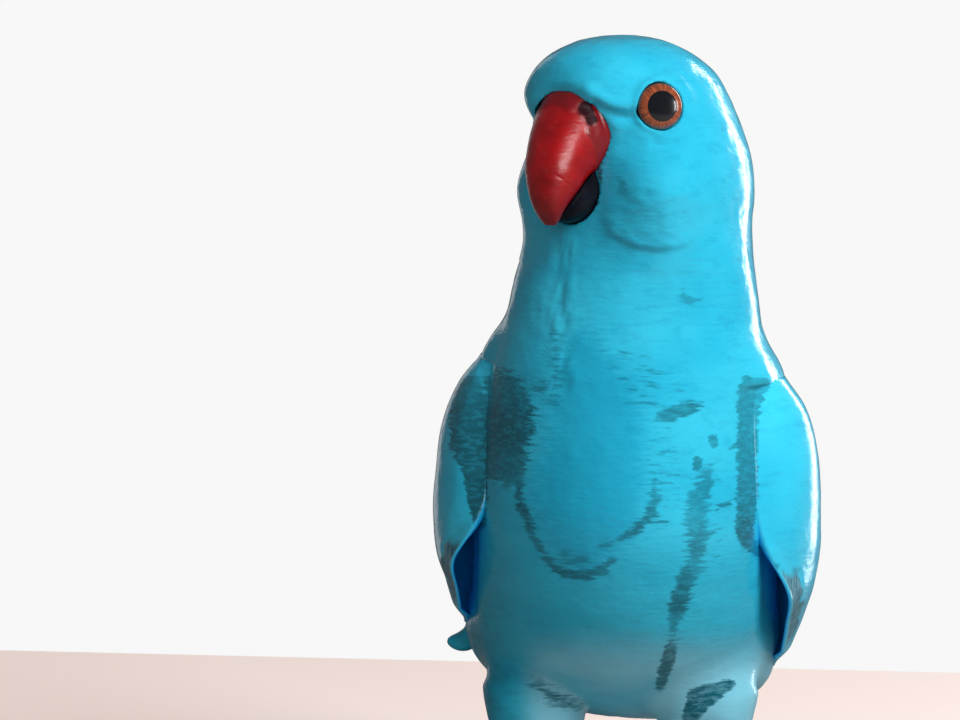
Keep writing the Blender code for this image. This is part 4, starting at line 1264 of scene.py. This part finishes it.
def feather_rings(side, root, middle, tip, half_width, half_thickness):
    """A flight feather: a flat blade with a raised shaft and a rounded end, bent through three points."""
    share = np.linspace(0, 1, BLADE_ROWS)[:, None]
    root, middle, tip = (np.array([side * p[0], p[1], p[2]], float) for p in (root, middle, tip))
    centre = root * (1 - share) ** 2 + middle * 2 * share * (1 - share) + tip * share**2
    direction = (middle - root) * (1 - share) + (tip - middle) * share
    direction = unit(direction)
    outwards = unit(stacked(centre[:, 0], centre[:, 1], 0))
    sideways = unit(np.cross(direction, outwards))
    upright = np.cross(sideways, direction)
    rounding = np.sqrt(1 - np.maximum(0, (share - 0.62) / 0.385) ** 2)
    turns = turns_round(BLADE_COLUMNS, 0.5)
    wide = half_width * rounding * np.cos(turns)
    deep = half_thickness * (0.35 + 0.65 * rounding) * np.sin(turns)
    if half_width > 2 * half_thickness:
        deep = deep + BLADE_SHAFT_RISE * bell(wide, BLADE_SHAFT_WIDTH) * np.sign(np.sin(turns))
        deep = deep + 0.05 * np.sin((share * 50 - np.abs(wide)) * 3) * np.sin(turns)
    return centre[:, None] + sideways[:, None] * wide[..., None] + upright[:, None] * deep[..., None]


def wing_mesh(side, name):
    """One wing's shell, its faces and its rim closed, with the attributes that its paint reads."""
    outer, inner, along, across = wing_grids(side)
    rings = np.concatenate([outer, inner[:, ::-1]], axis=1)
    mesh = loft_strip(in_frame(rings), name)
    points = rings.reshape(-1, 3)
    along, across = (np.concatenate([grid, grid[:, ::-1]], axis=1).reshape(-1) for grid in (along, across))
    inside = np.tile(np.repeat((0.0, 1.0), WING_COLUMNS), WING_ROWS)
    _, normals = vertex_arrays(mesh)
    reach, strength = stain_and_shade_values(points, normals @ BACKWARDS > -0.3)
    write_attribute(mesh, "stain_and_shade_reach", np.where(inside > 0, OUTSIDE, reach))
    write_attribute(mesh, "stain_and_shade_strength", strength * (1 - inside))
    write_attribute(mesh, "hollow", inside)
    write_attribute(mesh, "torn", torn_strip(points, along, across) * (1 - inside))
    write_attribute(mesh, "bib_reach", np.full(len(points), OUTSIDE))
    # Paler low on the wing: partly patina, partly painted bounce light.
    write_attribute(mesh, "pale", 0.25 * ease(64, 40, points[:, 2]))
    return mesh


def loft_strip(rings, name):
    """A closed mesh through flat rings, its ends closed straight across."""
    index, _, faces = ring_faces(*rings.shape[:2])
    for end, flip in ((index[0].tolist(), True), (index[-1].tolist(), False)):
        for i in range(len(end) // 2 - 1):
            face = (end[i], end[i + 1], end[-2 - i], end[-1 - i])
            faces.append(face[::-1] if flip else face)
    return closed_mesh(rings.reshape(-1, 3), faces, name)


material, tree, shader, colour = gloss_paint("cyan_gloss_wing_paint")
# Navy on the shell's inner face: its inner paint, with painted shade.
colour = over(tree, shader, "hollow", colour, NAVY_AND_HOLLOW_SHADE)
fibres = stretched_noise(tree, (1400, 1400, 220), 4.0, 0.7)
fibre_tint = ramp(tree, fibres, [(0.3, (0.02, 0.09, 0.13)), (0.7, (0.11, 0.25, 0.31))])
over(tree, shader, "torn", colour, fibre_tint)
gloss = shader.inputs["Coat Weight"].links[0].from_socket
untorn = remap(tree, attribute(tree, "torn"), 0, 1, 1.0, 0.2)
feed(tree, shader, {"Coat Weight": math_node(tree, "MULTIPLY", gloss, untorn)})
for side, feathers, name, node_name in (
    (1, TUCKED_FEATHERS, "left_wing_shell", "left_wing"),
    (-1, FLARED_FEATHERS, "right_wing_shell", "right_wing"),
):
    blades = [loft(in_frame(feather_rings(side, *feather)), "feather") for feather in feathers]
    wing = joined([wing_mesh(side, name), *blades], name)
    wing.data.materials.clear()
    wing.data.materials.append(material)
    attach(wing, "root")
    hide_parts(node_name)


# Upper beak: a hooked casting in gloss red, let in under the brow, its red darkened towards the tip as
# painted shade. Round its root is a darker, rougher band with a dark nostril on each side.
BEAK_ROWS, BEAK_SIDES = 150, 120
CERE_END, CERE_CRACK = 0.33, 0.21
NOSTRIL_PLACE, NOSTRIL_TURN = 0.275, math.radians(53)
NOSTRIL_LENGTH, NOSTRIL_WIDTH, NOSTRIL_DEPTH = 0.052, 0.44, 0.4
CERE_RISE, CRACK_DEPTH = 0.22, 0.3
# A fine groove across the beak, lower down.
BEAK_LINE, BEAK_LINE_DEPTH = 0.60, 0.10


def upper_beak_mesh():
    """The hook with its root band, nostrils and fine unevenness, and the attributes that its paint reads."""
    rings, along, turn = beak_rings(BEAK_ROWS, BEAK_SIDES)
    normal = surface_normals(rings)
    along = along + 0 * turn
    side_turn = off_front(turn) + 0 * along
    ragged = 0.02 * soft_noise(rings, 2.2, 41)
    cere = ease(CERE_END + 0.015, CERE_END - 0.015, along + ragged)
    forward = (along - NOSTRIL_PLACE) / NOSTRIL_LENGTH
    round_it = (side_turn - NOSTRIL_TURN) / NOSTRIL_WIDTH
    nostril = np.exp(-(forward**2 + round_it**2))
    rise = CERE_RISE * cere - NOSTRIL_DEPTH * nostril
    rise -= CRACK_DEPTH * bell(along + ragged - CERE_CRACK, 0.012) * ease(1.9, 1.2, side_turn)
    rise += 0.10 * cere * soft_noise(rings, 1.3, 42)
    rise += 0.07 * soft_noise(rings, 5.0, 43) + 0.035 * soft_noise(rings, 1.8, 44)
    rise -= BEAK_LINE_DEPTH * bell(along - BEAK_LINE, 0.006)
    rise *= ease(0, 0.06, along) * ease(1, 0.94, along)
    rings = rings + normal * rise[..., None]
    mesh = loft(in_frame(rings), "hooked_beak")
    ends = np.zeros(2)
    write_attribute(mesh, "cere", np.concatenate([cere.reshape(-1), ends]))
    write_attribute(mesh, "nostril", np.concatenate([nostril.reshape(-1), ends]))
    write_attribute(mesh, "along", np.concatenate([along.reshape(-1), [0, 1]]))
    return mesh


upper_beak = link("hooked_beak", upper_beak_mesh())
material, tree, shader = new_material("red_gloss_beak_paint")
cloud = stretched_noise(tree, (160, 160, 220), 3.0)
red = ramp(tree, cloud, [(0.3, (0.17, 0.001, 0.002)), (0.7, (0.27, 0.002, 0.004))])
rubbed = remap(tree, stretched_noise(tree, (300, 300, 700), 4.0), 0.55, 0.75, 0.0, 0.3)
red = mixed(tree, rubbed, red, (0.30, 0.035, 0.035))
# Painted shade: the red darkens towards the tip of the hook, its lower part.
red = mixed(tree, remap(tree, attribute(tree, "along"), 0.45, 0.9, 0.0, 0.7), red, (0.08, 0.0002, 0.0006))
colour = mixed(tree, attribute(tree, "cere"), red, (0.13, 0.003, 0.005))
smudge = math_node(tree, "ADD", attribute(tree, "nostril"), stretched_noise(tree, (500, 500, 500), 3.0))
colour = mixed(tree, remap(tree, smudge, 0.85, 1.1, 0.0, 0.92), colour, (0.006, 0.003, 0.005))
worn = bump(tree, stretched_noise(tree, (420, 420, 1200), 4.0), 0.00008)
look = {
    "Base Color": colour,
    "Roughness": 0.35,
    "Specular IOR Level": 0.05,
    "Coat Weight": remap(tree, smudge, 0.85, 1.1, 0.8, 0.05),
    "Coat Roughness": 0.34,
    "Coat IOR": 1.6,
    "Normal": worn,
    "Coat Normal": worn,
}
feed(tree, shader, look)
upper_beak.data.materials.append(material)
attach(upper_beak, "root")
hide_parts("upper_beak")


# Lower beak: a black scoop set in behind the hook, cut back where the hook closes over it.
lower_beak = link("lower_beak_scoop", loft(in_frame(lower_beak_rings(90, 96)), "lower_beak_scoop"))
carve(lower_beak, [beak_seat()], "DIFFERENCE")
material, tree, shader = new_material("black_gloss_beak_paint")
wear = stretched_noise(tree, (300, 300, 300), 4.0)
look = {
    "Base Color": ramp(tree, wear, [(0.35, (0.002, 0.003, 0.006)), (0.7, (0.008, 0.010, 0.016))]),
    "Roughness": 0.4,
    "Specular IOR Level": 0.1,
    "Coat Weight": 0.15,
    "Coat Roughness": 0.2,
    "Normal": bump(tree, stretched_noise(tree, (500, 500, 900), 3.0), 0.00008),
}
feed(tree, shader, look)
lower_beak.data.materials.clear()
lower_beak.data.materials.append(material)
lower_beak.data.shade_smooth()
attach(lower_beak, "root")
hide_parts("lower_beak")


# Eyes: domed glass with an orange iris and a black pupil painted behind it, pressed into the sockets.
EYE_DEPTH, EYE_DOME = 3.2, 1.7
PUPIL_RADIUS = 3.0
EYE_RINGS, EYE_SIDES = 46, 96


def eye_mesh(side, name):
    """A disc with a domed front, and how far each vertex is from the middle as a share of the radius."""
    centre, axis = eye_axis(side)
    profile = [(EYE_RADIUS * 0.5, -EYE_DEPTH), (EYE_RADIUS, -EYE_DEPTH), (EYE_RADIUS, -0.05)]
    for turn in np.linspace(0, math.pi / 2 * 0.985, EYE_RINGS):
        radius = EYE_RADIUS * math.cos(turn)
        pupil_edge = math.exp(-(((radius - PUPIL_RADIUS) / 0.16) ** 2))
        profile.append((radius, EYE_DOME * math.sin(turn) - 0.05 * pupil_edge))
    mesh = loft(in_frame(disc_rings(centre, axis, profile, EYE_SIDES)), name)
    shares = np.repeat([radius / EYE_RADIUS for radius, _ in profile], EYE_SIDES)
    write_attribute(mesh, "from_middle", np.concatenate([shares, [1.0, 0.0]]))
    turns = np.tile(turns_round(EYE_SIDES, 0.5), len(profile))
    write_attribute(mesh, "round_x", np.concatenate([np.cos(turns), [0.0, 0.0]]))
    write_attribute(mesh, "round_y", np.concatenate([np.sin(turns), [0.0, 0.0]]))
    return mesh


material, tree, shader = new_material("glass_eye")
from_middle = attribute(tree, "from_middle")
fibre_place = {"X": attribute(tree, "round_x"), "Y": attribute(tree, "round_y"), "Z": from_middle}
fibre_place = node(tree, "ShaderNodeCombineXYZ", fibre_place).outputs[0]
fibre_place = node(tree, "ShaderNodeMapping", {"Vector": fibre_place, "Scale": (14, 14, 2.5)}).outputs[0]
fibres = node(tree, "ShaderNodeTexNoise", {"Vector": fibre_place, "Scale": 1.0, "Detail": 4.0}).outputs["Fac"]
iris = ramp(tree, fibres, [(0.3, (0.12, 0.022, 0.008)), (0.7, (0.36, 0.080, 0.024))])
iris = mixed(tree, remap(tree, from_middle, 0.88, 1.0, 0.0, 0.4), iris, (0.07, 0.014, 0.008))
eye_colour = mixed(tree, remap(tree, from_middle, 0.65, 0.69), (0.0015, 0.002, 0.004), iris)
look = {
    "Base Color": eye_colour,
    "Roughness": 0.25,
    "Coat Weight": 1.0,
    "Coat Roughness": 0.02,
    "Coat IOR": 1.55,
}
feed(tree, shader, look)
for side, name in ((1, "left_eye"), (-1, "right_eye")):
    eye = link(f"{name}_glass", eye_mesh(side, f"{name}_glass"))
    eye.data.materials.append(material)
    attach(eye, "root")
    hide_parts(name)


# Studio: a pale table top that ends a little way behind the bird and a white surround. A soft key light is on
# the bird's left, a soft fill ahead of it, a tall window behind its left shoulder and a faint one behind its
# right shoulder. Three small lamps light only the eyes, the wings and the beak.
FLOOR_SIDE, FLOOR_FRONT, FLOOR_BACK = 0.9, 0.9, 0.24
# The table's colour as the camera sees it, as its light falls on the bird, and as it shines in the gloss. The
# camera sees this gleam as well, since the photo's table is close to white.
FLOOR_SEEN, FLOOR_BOUNCE, FLOOR_SHINE = (0.95, 0.88, 0.84), (0.42, 0.4, 0.38), (0.24, 0.22, 0.21)
FLOOR_GLEAM = (0.24, 0.14, 0.11)
floor_mesh = bpy.data.meshes.new("pale_floor")
floor_corners = [(-1, -FLOOR_FRONT), (1, -FLOOR_FRONT), (1, FLOOR_BACK), (-1, FLOOR_BACK)]
floor_mesh.from_pydata([(side * FLOOR_SIDE, back, 0) for side, back in floor_corners], [], [(0, 1, 2, 3)])
floor = link("pale_floor", floor_mesh)
material, tree, shader = new_material("pale_floor")
rays = node(tree, "ShaderNodeLightPath").outputs
floor_colour = mixed(tree, rays["Is Camera Ray"], FLOOR_BOUNCE, FLOOR_SEEN)
look = {
    "Base Color": mixed(tree, rays["Is Glossy Ray"], floor_colour, FLOOR_SHINE),
    "Roughness": 0.6,
    "Emission Color": FLOOR_GLEAM,
    "Emission Strength": rays["Is Camera Ray"],
}
feed(tree, shader, look)
floor.data.materials.append(material)

# The surround's colour behind the bird, and the fainter, cooler one that lights it.
SURROUND_SEEN, SURROUND_LIGHT = (0.93, 0.935, 0.93), (0.85, 0.93, 1.0)
world = bpy.data.worlds.new("studio")
bpy.context.scene.world = world
world.use_nodes = True
tree = world.node_tree
surround = tree.nodes["Background"]
feed(tree, surround, {"Color": SURROUND_LIGHT, "Strength": 0.12})
backdrop = node(tree, "ShaderNodeBackground", {"Color": SURROUND_SEEN, "Strength": 1.0})
seen_by_camera = node(tree, "ShaderNodeLightPath").outputs["Is Camera Ray"]
chosen = {0: seen_by_camera, 1: surround.outputs[0], 2: backdrop.outputs[0]}
chosen = node(tree, "ShaderNodeMixShader", chosen).outputs[0]
feed(tree, tree.nodes["World Output"], {"Surface": chosen})


def soft_light(name, bearing, rise, distance, size, power, aim=(0, 0, 0.09)):
    """An area light. Bearing 0 is straight ahead of the bird, and a quarter turn is its left side."""
    light = bpy.data.lights.new(name, "AREA")
    light.shape = "RECTANGLE"
    light.size, light.size_y = size
    light.energy = power
    lamp = bpy.data.objects.new(name, light)
    bpy.context.scene.collection.objects.link(lamp)
    turn, lift = math.radians(bearing), math.radians(rise)
    place = Vector((math.sin(turn) * math.cos(lift), -math.cos(turn) * math.cos(lift), math.sin(lift)))
    lamp.location = Vector(aim) + place * distance
    lamp.rotation_euler = place.to_track_quat("Z", "Y").to_euler()
    lamp.visible_camera = False
    return lamp


key = soft_light("key", 55, 34, 0.85, (0.5, 0.5), 9.7, aim=(0, 0, 0.16))
fill = soft_light("fill", 2, 14, 1.2, (0.9, 0.7), 2.9, aim=(0, 0, 0.13))
key.visible_glossy = fill.visible_glossy = False
soft_light("window_behind_left_shoulder", 143, 6, 1.05, (0.22, 1.3), 6.5)
soft_light("behind_right_shoulder", -148, 6, 1.1, (0.3, 1.1), 0.6)
for name, bearing, rise, size, power, shone_on in (
    ("catchlight", 78, 6, (0.09, 0.2), 0.9, ("left_eye_glass", "right_eye_glass")),
    ("hollow_light", 8, 2, (0.3, 0.3), 1.2, ("left_wing_shell", "right_wing_shell")),
    ("beak_sheen", 10, 7, (0.46, 0.2), 3.0, ("hooked_beak",)),
):
    lamp = soft_light(name, bearing, rise, 0.6, size, power, aim=(0.01, 0, 0.15))
    lamp.light_linking.receiver_collection = bpy.data.collections.new(name)
    for receiver in shone_on:
        lamp.light_linking.receiver_collection.objects.link(bpy.data.objects[receiver])

lens = bpy.data.cameras.new("camera")
lens.lens = 140
lens.sensor_width = 36
lens.clip_start = 0.05
camera = bpy.data.objects.new("camera", lens)
bpy.context.scene.collection.objects.link(camera)
camera.location = CAMERA_PLACE
camera.rotation_euler = (math.pi / 2 - VIEW_RISE, 0, VIEW_TURN)
bpy.context.scene.camera = camera
bpy.context.scene.view_settings.view_transform = "Standard"
